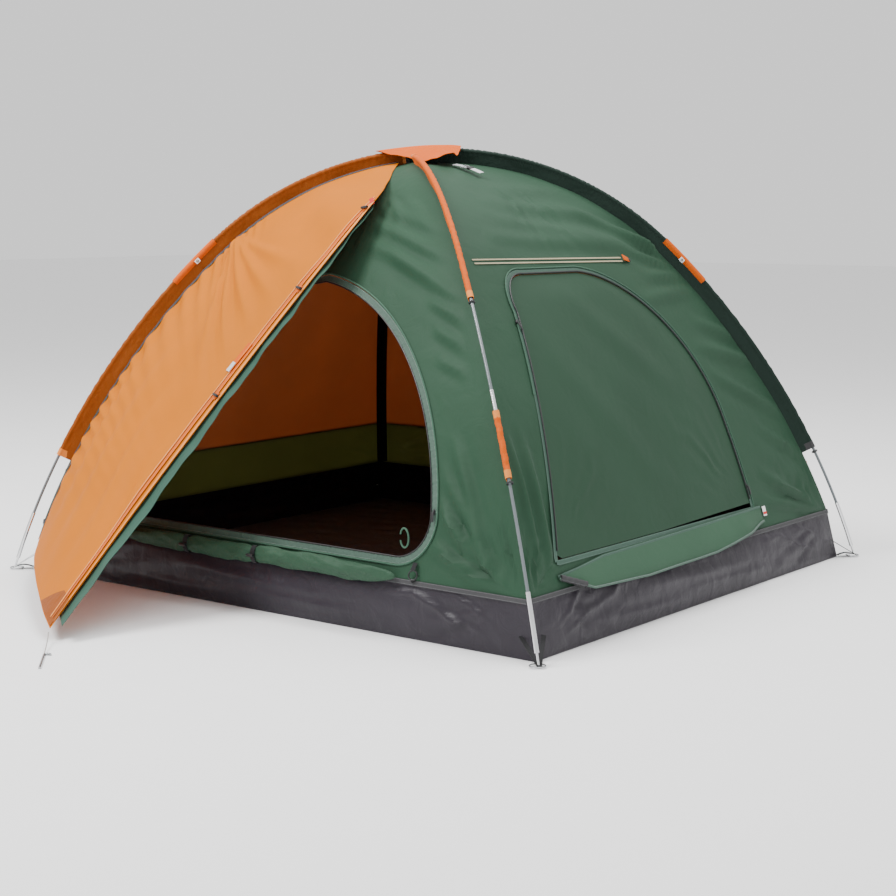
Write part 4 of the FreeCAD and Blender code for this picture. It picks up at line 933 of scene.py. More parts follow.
class Finish(Enum):
    """Every finish of the tent."""

    GREEN = ClothFinish("green_canopy_cloth", (0.028, 0.074, 0.042))
    PANEL = ClothFinish("green_hatch_cloth", (0.027, 0.068, 0.039), crumple=0.25)
    FLAP = ClothFinish("green_flap_cloth", (0.046, 0.108, 0.064), crumple=0.4)
    ROLL = ClothFinish("green_rolled_door_cloth", (0.026, 0.066, 0.038), crumple=0.7, crumple_scale=42.0,
                       glow=0.0)
    LINING = ClothFinish("green_lining_cloth", (0.040, 0.105, 0.075), crumple=0.3)
    ORANGE = ClothFinish("orange_wing_cloth", (0.680, 0.200, 0.003), 0.6, 0.0, crumple=0.3, glow=0.3,
                         variation=0.08)
    WALL = ClothFinish("orange_wall_cloth", (0.500, 0.225, 0.110), crumple=0.4, glow=0.42)
    OLIVE = ClothFinish("olive_band_cloth", (0.200, 0.205, 0.085), crumple=0.4, glow=0.45)
    TUB = ClothFinish("coated_tub_cloth", (0.020, 0.016, 0.023), 0.42, 0.01, crumple=0.6, crumple_scale=22.0,
                      glow=0.0, gloss=0.30, variation=0.25)
    FLOOR = ClothFinish("coated_floor_cloth", (0.120, 0.120, 0.130), 0.45, 0.0, crumple=0.6, glow=0.0)
    # Orange sleeve cloth, made much darker than the wing's orange: the shade of a face turned from the light
    # is painted into it. The left main sleeve, the wing's seam strip and its tip patch use it.
    SLEEVE_ORANGE = ClothFinish("orange_sleeve_cloth", (0.260, 0.062, 0.003), crumple=0.5,
                                crumple_scale=34.0, glow=0.05)
    SLEEVE_GREEN = ClothFinish("dark_green_sleeve_cloth", (0.010, 0.024, 0.017), crumple=0.5,
                               crumple_scale=34.0,
                               glow=0.05)
    ACCENT = ClothFinish("vivid_orange_cloth", (0.640, 0.105, 0.001), crumple=0.35, crumple_scale=40.0,
                         glow=0.12)
    ZIP_STRIP = ClothFinish("orange_zip_cloth", (0.700, 0.140, 0.012), stitch=(0.95, 0.62, 0.35),
                            stitch_width=0.016)
    HEM = ClothFinish("orange_hem_tape", (0.700, 0.230, 0.040), stitch=(0.9, 0.55, 0.3), stitch_width=0.010,
                      glow=0.0)
    BINDING = ClothFinish("dark_binding_tape", (0.050, 0.050, 0.052), stitch=(0.16, 0.16, 0.17),
                          stitch_width=0.014,
                          glow=0.0)
    # Near-black inner seam tape: the real binding with the shadow of the pole sleeves, seen through the
    # cloth, painted into it.
    INNER_TAPE = ClothFinish("inner_seam_tape", (0.012, 0.011, 0.011), 0.5, 0.0, crumple=0.3, glow=0.0)
    DOOR_TAPE = ClothFinish("grey_green_zip_tape", (0.070, 0.115, 0.090), crumple=0.5, crumple_scale=60.0,
                            stitch=(0.25, 0.32, 0.28), stitch_width=0.020, glow=0.0)
    HATCH_TAPE = ClothFinish("green_zip_tape", (0.050, 0.095, 0.072), stitch=(0.13, 0.2, 0.16),
                             stitch_width=0.014, glow=0.0)
    TAN = ClothFinish("tan_seam_tape", (0.330, 0.290, 0.185), stitch=(0.5, 0.45, 0.33), stitch_width=0.005,
                      stitch_edge=0.0012, glow=0.0)
    WEBBING = ClothFinish("black_webbing", (0.016, 0.016, 0.017), 0.7, 0.1, 0.0016, 0.7, crumple=0.1,
                          glow=0.0)
    WHITE_WEBBING = ClothFinish("grey_webbing", (0.560, 0.570, 0.580), 0.6, 0.1, 0.0016, 0.6, crumple=0.1,
                                glow=0.0)
    WHITE_TAB = ClothFinish("white_label_cloth", (0.780, 0.780, 0.760), 0.6, 0.1, crumple=0.2, glow=0.0)
    RED_TAB = ClothFinish("red_label_cloth", (0.600, 0.030, 0.025), 0.6, 0.1, crumple=0.2, glow=0.0)
    CORD = ClothFinish("pale_tip_cord", (0.420, 0.400, 0.370), 0.7, 0.1, 0.0012, 0.8, crumple=0.1, glow=0.0)
    PIPING = ClothFinish("green_piping_cord", (0.045, 0.110, 0.070), 0.6, 0.1, 0.0012, 0.8, crumple=0.1,
                         glow=0.0)
    COIL = HardFinish("black_zip_coil", (0.014, 0.015, 0.015), 0.4)
    PLASTIC = HardFinish("black_moulded_plastic", (0.012, 0.012, 0.013), 0.38, grain=500.0)
    CLEAR = HardFinish("clear_moulded_plastic", (0.860, 0.900, 0.900), 0.16, clear=0.75, wear=0.04)
    POLE = HardFinish("grey_fibreglass", (0.120, 0.140, 0.150), 0.32, stretch=(1.0, 1.0, 0.08), coat=0.5)
    STEEL = HardFinish("bright_steel", (0.800, 0.810, 0.820), 0.22, 1.0, stretch=(1.0, 1.0, 0.1), wear=0.12)
    WIRE = HardFinish("galvanised_wire", (0.420, 0.430, 0.440), 0.38, 1.0, grain=200.0)
    GROUND = HardFinish("pale_studio_floor", (0.920, 0.920, 0.920), 0.85, grain=40.0, grain_depth=0.0,
                        wear=0.01)


class Wardrobe:
    """Finishes made into materials once each."""

    def __init__(self) -> None:
        """Nothing made yet."""
        self.made: dict[Finish, bpy.types.Material] = {}

    def __getitem__(self, finish: Finish) -> bpy.types.Material:
        """The material of a finish."""
        if finish not in self.made:
            self.made[finish] = finish.value.material()
        return self.made[finish]


# ------------------------------------------------------------------ sheets of the canopy

@dataclass
class Canopy:
    """The four walls, their openings' edges, the hatch panel and the seams between cloths."""

    tent: Tent
    wardrobe: Wardrobe
    columns: int = 250
    rows: int = 34
    hatch_gap: float = 0.002
    tape_and_shadow_width: float = 0.038
    front_folds: tuple = (
        Fold((0.05, 1.135), (0.36, 1.060), 0.008, 0.016), Fold((0.07, 1.090), (0.44, 0.978), 0.010, 0.018),
        Fold((0.10, 1.030), (0.47, 0.925), 0.009, 0.018), Fold((0.22, 0.985), (0.52, 0.880), 0.007, 0.015),
        Fold((0.14, 1.150), (0.29, 1.100), 0.006, 0.012), Fold((0.41, 0.872), (0.55, 0.828), 0.006, 0.012),
        Fold((0.46, 0.797), (0.58, 0.760), 0.006, 0.012), Fold((0.50, 0.720), (0.62, 0.690), 0.005, 0.012),
        Fold((0.60, 0.450), (0.86, 0.165), 0.009, 0.014), Fold((0.60, 0.380), (0.77, 0.200), 0.008, 0.014),
        Fold((0.63, 0.330), (0.90, 0.162), 0.010, 0.013), Fold((0.62, 0.530), (0.80, 0.230), 0.007, 0.016),
        Fold((0.57, 0.270), (0.82, 0.170), 0.008, 0.012), Fold((-0.62, 0.500), (-0.86, 0.180), 0.008, 0.016),
        Fold((-0.60, 0.360), (-0.88, 0.165), 0.009, 0.014),
        Fold((-0.30, 1.020), (-0.50, 0.900), 0.007, 0.016),
        Fan((0.932, 0.150), 98.0, 172.0, 8, 0.03, 0.36, 0.006),
        Fan((-0.930, 0.150), 8.0, 80.0, 8, 0.03, 0.36, 0.006),
        Fan((0.00, 1.235), 205.0, 330.0, 11, 0.03, 0.34, 0.005))
    right_folds: tuple = (
        Fold((-0.25, 1.140), (0.32, 1.098), 0.005, 0.022), Fold((-0.30, 1.098), (0.42, 1.005), 0.006, 0.022),
        Fold((-0.35, 1.045), (0.40, 0.996), 0.005, 0.018), Fold((-0.14, 1.176), (0.24, 1.176), 0.004, 0.018),
        Fold((0.27, 1.065), (0.60, 0.930), 0.008, 0.014), Fold((0.13, 1.130), (0.55, 0.950), 0.007, 0.016),
        Fold((0.26, 0.994), (0.59, 0.922), 0.007, 0.012), Fold((0.29, 0.915), (0.59, 0.915), 0.006, 0.014),
        Fold((0.22, 0.845), (0.53, 0.875), 0.005, 0.016), Fold((0.42, 0.780), (0.77, 0.680), 0.007, 0.016),
        Fold((0.37, 0.705), (0.79, 0.615), 0.008, 0.018), Fold((0.38, 0.625), (0.80, 0.440), 0.007, 0.018),
        Fold((-0.71, 0.560), (-0.765, 0.220), 0.007, 0.012),
        Fold((-0.65, 0.550), (-0.725, 0.190), 0.007, 0.014),
        Fold((-0.79, 0.470), (-0.83, 0.160), 0.006, 0.010),
        Fold((-0.60, 0.430), (-0.66, 0.215), 0.005, 0.012),
        Fold((0.54, 0.440), (0.79, 0.335), 0.008, 0.014), Fold((0.46, 0.320), (0.81, 0.165), 0.009, 0.014),
        Fold((0.42, 0.240), (0.80, 0.160), 0.007, 0.012),
        Fan((-0.855, 0.150), 20.0, 84.0, 7, 0.03, 0.30, 0.005),
        Fan((0.837, 0.150), 96.0, 170.0, 9, 0.03, 0.38, 0.006),
        Fan((-0.03, 1.235), 200.0, 340.0, 9, 0.03, 0.30, 0.004))
    side_folds: tuple = (
        Fan((-0.90, 0.31), 4.0, 78.0, 7, 0.04, 0.50, 0.007),
        Fan((0.90, 0.31), 102.0, 176.0, 7, 0.04, 0.50, 0.007),
        Fan((0.00, 1.235), 200.0, 340.0, 12, 0.03, 0.50, 0.006),
        Fold((-0.50, 0.900), (0.45, 0.860), 0.004, 0.03),
        Fold((-0.40, 1.050), (0.35, 1.080), 0.004, 0.03))
    band_folds: tuple = (
        Fan((-0.93, 0.15), 2.0, 60.0, 6, 0.02, 0.5, 0.005),
        Fan((0.93, 0.15), 120.0, 178.0, 6, 0.02, 0.5, 0.005))

    def __post_init__(self) -> None:
        """The outlines of the doorway and the hatch, across and up their walls."""
        radius, offset, centre, sill, corner = 0.715, 0.093, 0.223, 0.190, 0.120
        rise = sill + corner - centre
        run = math.sqrt((radius - corner) ** 2 - rise ** 2)
        low = run - offset
        cos_j, sin_j = run / (radius - corner), rise / (radius - corner)
        joint = (radius * cos_j - offset, centre + radius * sin_j)
        peak = (0.0, centre + math.sqrt(radius ** 2 - offset ** 2))
        side = (math.atan2(sin_j, cos_j) + math.atan2(peak[1] - centre, offset)) / 2
        half = (radius * math.cos(side) - offset, centre + radius * math.sin(side))
        bend = (math.atan2(sin_j, cos_j) - math.pi / 2) / 2
        toe = (low + corner * math.cos(bend), sill + corner + corner * math.sin(bend))
        right = [((low, sill), toe, joint), (joint, half, peak)]
        left = [tuple((-x, z) for x, z in reversed(edge)) for edge in reversed(right)]
        self.doorway = Outline(right + left + [((-low, sill), (low, sill))], (0.0, 0.50))
        self.sill, top = 0.225, 0.936
        front, back = (-0.425, 0.835), (0.357, 0.480)
        head, tail = (-0.300, top), (-0.040, top)
        quarter = math.sqrt(0.5)
        bow = (head[0] + (front[0] - head[0]) * quarter, front[1] + (top - front[1]) * quarter)
        round_back = (tail[0] + (back[0] - tail[0]) * quarter, back[1] + (top - back[1]) * quarter)
        foot = (-0.690, self.sill)
        self.hatch = Outline([(foot, front), (front, bow, head), (head, tail), (tail, round_back, back),
                              (back, (back[0], self.sill)), ((back[0], self.sill), foot)], (-0.12, 0.52))

    def holed(self, name: str, wall: Wall, outline: Outline, folds: Sequence[Fold | Fan],
              inset: float = 0.0) -> bpy.types.Object:
        """A wall's sheet around an opening.

        Args:
            name: the piece's name.
            wall: the wall it lies on.
            outline: the opening.
            folds: its creases.
            inset: how far the sheet's edge stands off the outline.

        Returns:
            The sheet.
        """
        edge = outline.at(np.linspace(0, 1, 900, endpoint=False), inset)
        inner = Outline.polar(edge, outline.centre)
        border = wall.outline()
        outer = Outline.polar(border, outline.centre)
        marks = [*outline.corners, wall.a[0, [wall.axis, 2]], wall.a[-1, [wall.axis, 2]],
                 wall.b[-1, [wall.axis, 2]]]
        angles = [math.atan2(z - outline.centre[1], x - outline.centre[0]) for x, z in marks]
        even = np.linspace(-math.pi, math.pi, self.columns + 1 - len(angles))
        turns = np.sort(np.concatenate([even, angles]))
        lift = relief_of(folds, 1.55)

        def place(u: Points, v: Points) -> Points:
            turn = turns[np.round(u * self.columns).astype(int)]
            start, end = (np.interp(turn, *ring_line) for ring_line in (inner, outer))
            reach = start + (end - start) * v
            across = outline.centre[0] + np.cos(turn) * reach
            height = outline.centre[1] + np.sin(turn) * reach
            rise = lift(across, height) * smooth((1 - v) * 12) * smooth(v * 9)
            spots = np.stack([across, height, across * 0], -1)
            rise = rise + 0.0022 * ripple(spots, 0.20, 5) * smooth((1 - v) * 6) * smooth(v * 6)
            rise = rise + 0.0006 * ripple(spots, 0.045, 9) * smooth((1 - v) * 6) * smooth(v * 9)
            return wall.on(across, height, rise)

        return lay_grid(name, self.columns, self.rows, place, (2.4, 0.5), wall.out, CLOTH, True)

    def plain(self, name: str, wall: Wall, folds: Sequence[Fold | Fan], rows: int = 90) -> bpy.types.Object:
        """A wall's sheet with no opening."""
        lift = relief_of(folds)

        def place(u: Points, v: Points) -> Points:
            spots = wall.between(v, u)
            rise = lift(spots[:, wall.axis], spots[:, 2]) + 0.003 * ripple(spots, 0.24, 11)
            rise = rise * smooth(u * 14) * smooth((1 - u) * 14) * smooth(v * 12) * smooth((1 - v) * 12)
            return spots + wall.normal(v, u) * rise[:, None]

        return lay_grid(name, 120, rows, place, (1.9, 1.4), wall.out)

    def panel(self) -> bpy.types.Object:
        """The hatch panel inside its zip, bulging a little."""
        wall = self.tent.right
        edge = self.hatch.at(np.linspace(0, 1, 1200, endpoint=False), -self.hatch_gap)
        edge = edge[edge[:, 1] > self.sill + self.hatch_gap * 0.6]
        low, high = self.sill + self.hatch_gap, float(edge[:, 1].max())
        halves = [edge[edge[:, 0] < -0.17], edge[edge[:, 0] >= -0.17]]
        sides = [half[np.argsort(half[:, 1])] for half in halves]
        folds = relief_of([
            Fold((-0.43, 0.80), (-0.05, 0.30), 0.003, 0.05), Fold((-0.20, 0.90), (0.20, 0.55), 0.004, 0.04),
            Fan((0.34, 0.24), 95.0, 178.0, 6, 0.03, 0.45, 0.004),
            Fan((-0.66, 0.24), 4.0, 70.0, 6, 0.03, 0.45, 0.004)])

        def place(u: Points, v: Points) -> Points:
            height = low + (high - low) * (1 - (1 - v) ** 1.25)
            front, back = (np.interp(height, side[:, 1], side[:, 0]) for side in sides)
            across = front + (back - front) * u
            inside = smooth(u * 6) * smooth((1 - u) * 6) * smooth(v * 6) * smooth((1 - v) * 6)
            spots = np.stack([across, height, across * 0], -1)
            rise = (folds(across, height) + 0.004 + 0.0025 * ripple(spots, 0.22, 21)) * inside
            return wall.on(across, height, rise)

        return lay_grid("hatch_cloth", 110, 84, place, (1.05, 0.78), wall.out)

    def tape_on(self, name: str, wall: Wall, places: Points, width: float, lift: float, ruffle: float = 0.0,
                closed: bool = False) -> bpy.types.Object:
        """A tape on a wall through places given across and up it."""
        down, over = wall.locate(places[:, 0], places[:, 1])
        path, normals = wall.between(down, over), wall.normal(down, over)
        return lay_ribbon(name, path, normals, width, lift=lift, ruffle=ruffle, closed=closed)

    def line_on(self, wall: Wall, places: Points, lift: float) -> Points:
        """Points on a wall, lifted off it."""
        return wall.on(places[:, 0], places[:, 1], lift)

    def build(self) -> None:
        """Make and dress the walls, their tapes and the seams."""
        tent, wear = self.tent, self.wardrobe
        front = self.holed("front_wall_cloth", tent.front, self.doorway, self.front_folds)
        dress(front, wear[Finish.GREEN], Body.TENT, ["front_wall"])
        right = self.holed("right_wall_cloth", tent.right, self.hatch, self.right_folds)
        dress(right, wear[Finish.GREEN], Body.TENT, ["right_wall"])
        panel = dress(self.panel(), wear[Finish.PANEL], Body.HATCH, ["hatch_panel"])
        for name, wall, node, cut, area in (("back_wall_cloth", tent.back, "back_wall", (1.86, 1.45), 1.52),
                                            ("left_wall_cloth", tent.left, "left_wall", (1.68, 1.45), 1.26)):
            piece = dress(self.plain(name, wall, self.side_folds), wear[Finish.WALL], Body.TENT,
                          [node])
        for name, wall, node, cut in (("back_band_cloth", tent.back_band, "back_band", (1.90, 0.17)),
                                      ("left_band_cloth", tent.left_band, "left_band", (1.72, 0.17))):
            piece = dress(self.plain(name, wall, self.band_folds, 22), wear[Finish.OLIVE], Body.TENT,
                          [node])
        self.build_seams()
        self.build_hatch_edges()
        self.build_door_edges()

    def build_seams(self) -> None:
        """Tapes over the corner seams inside, near black and 38 mm wide: the real inner binding with the pole
        sleeves' dark shadow through the cloth painted in; and tapes between cloths of two colours.
        """
        tent, wear = self.tent, self.wardrobe
        turns = np.linspace(0.0, 1.0, 220)
        for name, seam in (("front_left", tent.front_left), ("back_right", tent.back_right),
                           ("front_right", tent.front_right), ("back_left", tent.back_left)):
            last = seam.pole.turn_at_height(tent.tub_top, seam.drop)
            path = seam.at(seam.start + (last - seam.start) * turns)
            inward = unit(np.array([0.0, 0.0, 0.30]) - path)
            tape = lay_ribbon(name + "_inner_seam_tape", path, inward, self.tape_and_shadow_width, lift=0.034, rows=6)
            dress(tape, wear[Finish.INNER_TAPE], Body.TENT)
        for name, wall in (("back", tent.back), ("left", tent.left)):
            share = np.linspace(0, 1, 120)
            path = wall.between(np.ones(120), share)
            normal = wall.normal(np.ones(120), share)
            tape = lay_ribbon(name + "_band_seam_tape", path, normal, 0.010, lift=0.0012)
            dress(tape, wear[Finish.HEM], Body.TENT)
        share = np.linspace(0, 1, 60)
        places = mix(np.array([[-0.480, 0.979]]), np.array([[0.227, 0.971]]), share)
        for number, drop in enumerate((0.0, -0.010)):
            seam = self.tape_on("tan_seam_%d" % (number + 1), tent.right, places + [0.0, drop], 0.005, 0.0026)
            dress(seam, wear[Finish.TAN], Body.TENT)
        normal = tent.right.normal(*tent.right.locate([0.24], [0.966]))[0]
        spot = tent.right.on([0.245], [0.966], 0.006)[0]
        axes = [np.array([0.0, 0.97, -0.25]), np.cross(normal, [0.0, 0.97, -0.25]), normal]
        dress(block("seam_end_tab", (0.034, 0.022, 0.003), spot, axes, 0.0008, 0.35), wear[Finish.ACCENT],
              Body.TENT)
        dress(block("seam_end_stop", (0.010, 0.010, 0.007), spot + axes[0] * 0.019, axes, 0.0015),
              wear[Finish.PLASTIC],
              Body.TENT)

    def build_hatch_edges(self) -> None:
        """The hatch's zip: tape, coil and the cord edge above it."""
        wall, wear = self.tent.right, self.wardrobe
        share = np.linspace(0, 1, 420, endpoint=False)
        tape = self.tape_on("hatch_zip_cloth", wall, self.hatch.at(share, 0.0062), 0.014, 0.0016, closed=True)
        dress(tape, wear[Finish.HATCH_TAPE], Body.TENT, ["hatch_zip_tape"])
        upper = self.hatch.at(np.linspace(0, 1, 900, endpoint=False), 0.001)
        zipped = upper[(upper[:, 1] > self.sill + 0.02)]
        coil = lay_tube("hatch_zip_coil", self.line_on(wall, zipped, 0.0036), 0.0019, 8, 0.0055, bead=0.0005,
                        bead_pitch=0.011)
        dress(coil, wear[Finish.COIL], Body.TENT)
        piping = lay_tube("hatch_piping", self.line_on(wall,
                                                       self.hatch.at(np.linspace(0.14, 0.80, 300), 0.0145),
                                                       0.0030),
                          0.0022, 8, 0.008)
        dress(piping, wear[Finish.PIPING], Body.TENT)

    def build_door_edges(self) -> None:
        """The doorway's gathered zip tape, its coil and the loop of piping at its foot."""
        wall, wear = self.tent.front, self.wardrobe
        share = np.linspace(0, 1, 420, endpoint=False)
        tape = self.tape_on("front_zip_cloth", wall, self.doorway.at(share, -0.011), 0.020, 0.0005, 0.0016,
                            True)
        dress(tape, wear[Finish.DOOR_TAPE], Body.TENT, ["front_zip_tape"])
        coil = lay_tube("front_zip_coil", self.line_on(wall, self.doorway.at(share, -0.0205), 0.0008),
                        0.0020, 8,
                        0.0055, True, 0.0005, 0.011)
        dress(coil, wear[Finish.COIL], Body.TENT)
        cord = lay_tube("doorway_piping", self.line_on(wall, self.doorway.at(share, 0.0015), 0.0022),
                        0.0026, 8,
                        0.008, True)
        dress(cord, wear[Finish.PIPING], Body.TENT)
        turn = np.linspace(0.05, 0.95, 40) * TAU
        spot = wall.on([0.528], [0.262], 0.006)[0]
        loop = spot + np.stack([-0.016 * np.cos(turn), -0.004 - 0.006 * np.sin(turn / 2),
                                0.026 * np.sin(turn)], -1)
        dress(lay_tube("piping_loop", loop, 0.0026, 8, 0.005), wear[Finish.PIPING], Body.TENT)


# ------------------------------------------------------------------ floor tub

@dataclass
class Tub:
    """The coated floor: four short walls below the canopy, and the groundsheet."""

    tent: Tent
    wardrobe: Wardrobe
    height: float = 0.150
    inset: float = 0.042

    def corner(self, sign_x: int, sign_y: int) -> Points:
        """A corner of the groundsheet."""
        x, y = self.tent.half_width - self.inset, self.tent.half_depth - self.inset
        return np.array([sign_x * x, sign_y * y, 0.0016])

    def wall(self, name: str, seams: tuple[Seam, Seam], signs: Sequence[tuple[int, int]],
             out: Triple, node: str, cut: Pair) -> None:
        """One wall of the tub, wrinkled towards its corners, with the binding on its top edge."""
        top = [seam.at_height(self.height) for seam in seams]
        low = [self.corner(*sign) for sign in signs]
        half = float(np.linalg.norm(low[1] - low[0])) / 2
        folds = relief_of([
            Fan((-half, 0.005), 3.0, 44.0, 3, 0.10, 0.75, 0.008),
            Fan((half, 0.005), 136.0, 177.0, 3, 0.10, 0.75, 0.008),
            Fan((-half, self.height), -32.0, -3.0, 2, 0.10, 0.60, 0.006),
            Fan((half, self.height), 183.0, 212.0, 2, 0.10, 0.60, 0.006),
            Fold((-0.35, 0.105), (0.28, 0.075), 0.005, 0.014),
            Fold((-0.10, 0.060), (0.42, 0.040), 0.004, 0.012),
            Fold((-0.55, 0.045), (-0.05, 0.030), 0.004, 0.012)])
        facing = unit(np.array(out))

        def place(u: Points, v: Points) -> Points:
            spots = mix(mix(low[0][None], low[1][None], u), mix(top[0][None], top[1][None], u), v)
            across, height = (u - 0.5) * 2 * half, v * self.height
            rise = folds(across, height) + 0.0035 * ripple(np.stack([across, height * 1.6, u * 0], -1),
                                                           0.10, len(name))
            rise = rise + 0.014 * np.sin(math.pi * v) * np.sin(math.pi * u) ** 0.4
            held = smooth(v * 9) * smooth((1 - v) * 6) * smooth(u * 22) * smooth((1 - u) * 22)
            return spots + facing * (rise * held)[:, None]

        piece = lay_grid(name + "_cloth", 260, 26, place, cut, out)
        dress(piece, self.wardrobe[Finish.TUB], Body.TENT, [node])
        path = mix(top[0][None], top[1][None], np.linspace(0, 1, 200))
        path = path + facing * 0.001
        strip = lay_ribbon(name + "_binding", path, np.tile(unit(facing + [0, 0, 0.25]), (200, 1)), 0.014,
                           lift=0.0022, ruffle=0.0006)
        dress(strip, self.wardrobe[Finish.BINDING], Body.TENT)

    def floor(self) -> None:
        """The groundsheet, with low wrinkles inside the tent."""
        low, high = self.corner(-1, -1), self.corner(1, 1)

        def place(u: Points, v: Points) -> Points:
            x, y = low[0] + (high[0] - low[0]) * u, low[1] + (high[1] - low[1]) * v
            spots = np.stack([x, y, x * 0], -1)
            held = smooth(u * 16) * smooth((1 - u) * 16) * smooth(v * 16) * smooth((1 - v) * 16)
            rise = 0.0022 + (0.004 + 0.004 * ripple(spots, 0.13, 31) + 0.002 * ripple(spots, 0.05, 33)) * held
            return np.stack([x, y, np.maximum(rise, 0.0013)], -1)

        piece = lay_grid("groundsheet_cloth", 150, 130, place, (1.916, 1.716), (0, 0, 1), 0.001)
        dress(piece, self.wardrobe[Finish.FLOOR], Body.TENT, ["groundsheet"])

    def build(self) -> None:
        """Make the floor, then its walls."""
        tent = self.tent
        self.floor()
        wide, deep = (1.916, 0.160), (1.716, 0.160)
        self.wall("front_tub", (tent.front_left, tent.front_right), ((-1, -1), (1, -1)), (0, -1, 0),
                  "tub_wall_front", wide)
        self.wall("right_tub", (tent.front_right, tent.back_right), ((1, -1), (1, 1)), (1, 0, 0),
                  "tub_wall_right", deep)
        self.wall("back_tub", (tent.back_left, tent.back_right), ((-1, 1), (1, 1)), (0, 1, 0),
                  "tub_wall_back", wide)
        self.wall("left_tub", (tent.front_left, tent.back_left), ((-1, -1), (-1, 1)), (-1, 0, 0),
                  "tub_wall_left", deep)


# ------------------------------------------------------------------ pole sleeves and the hub

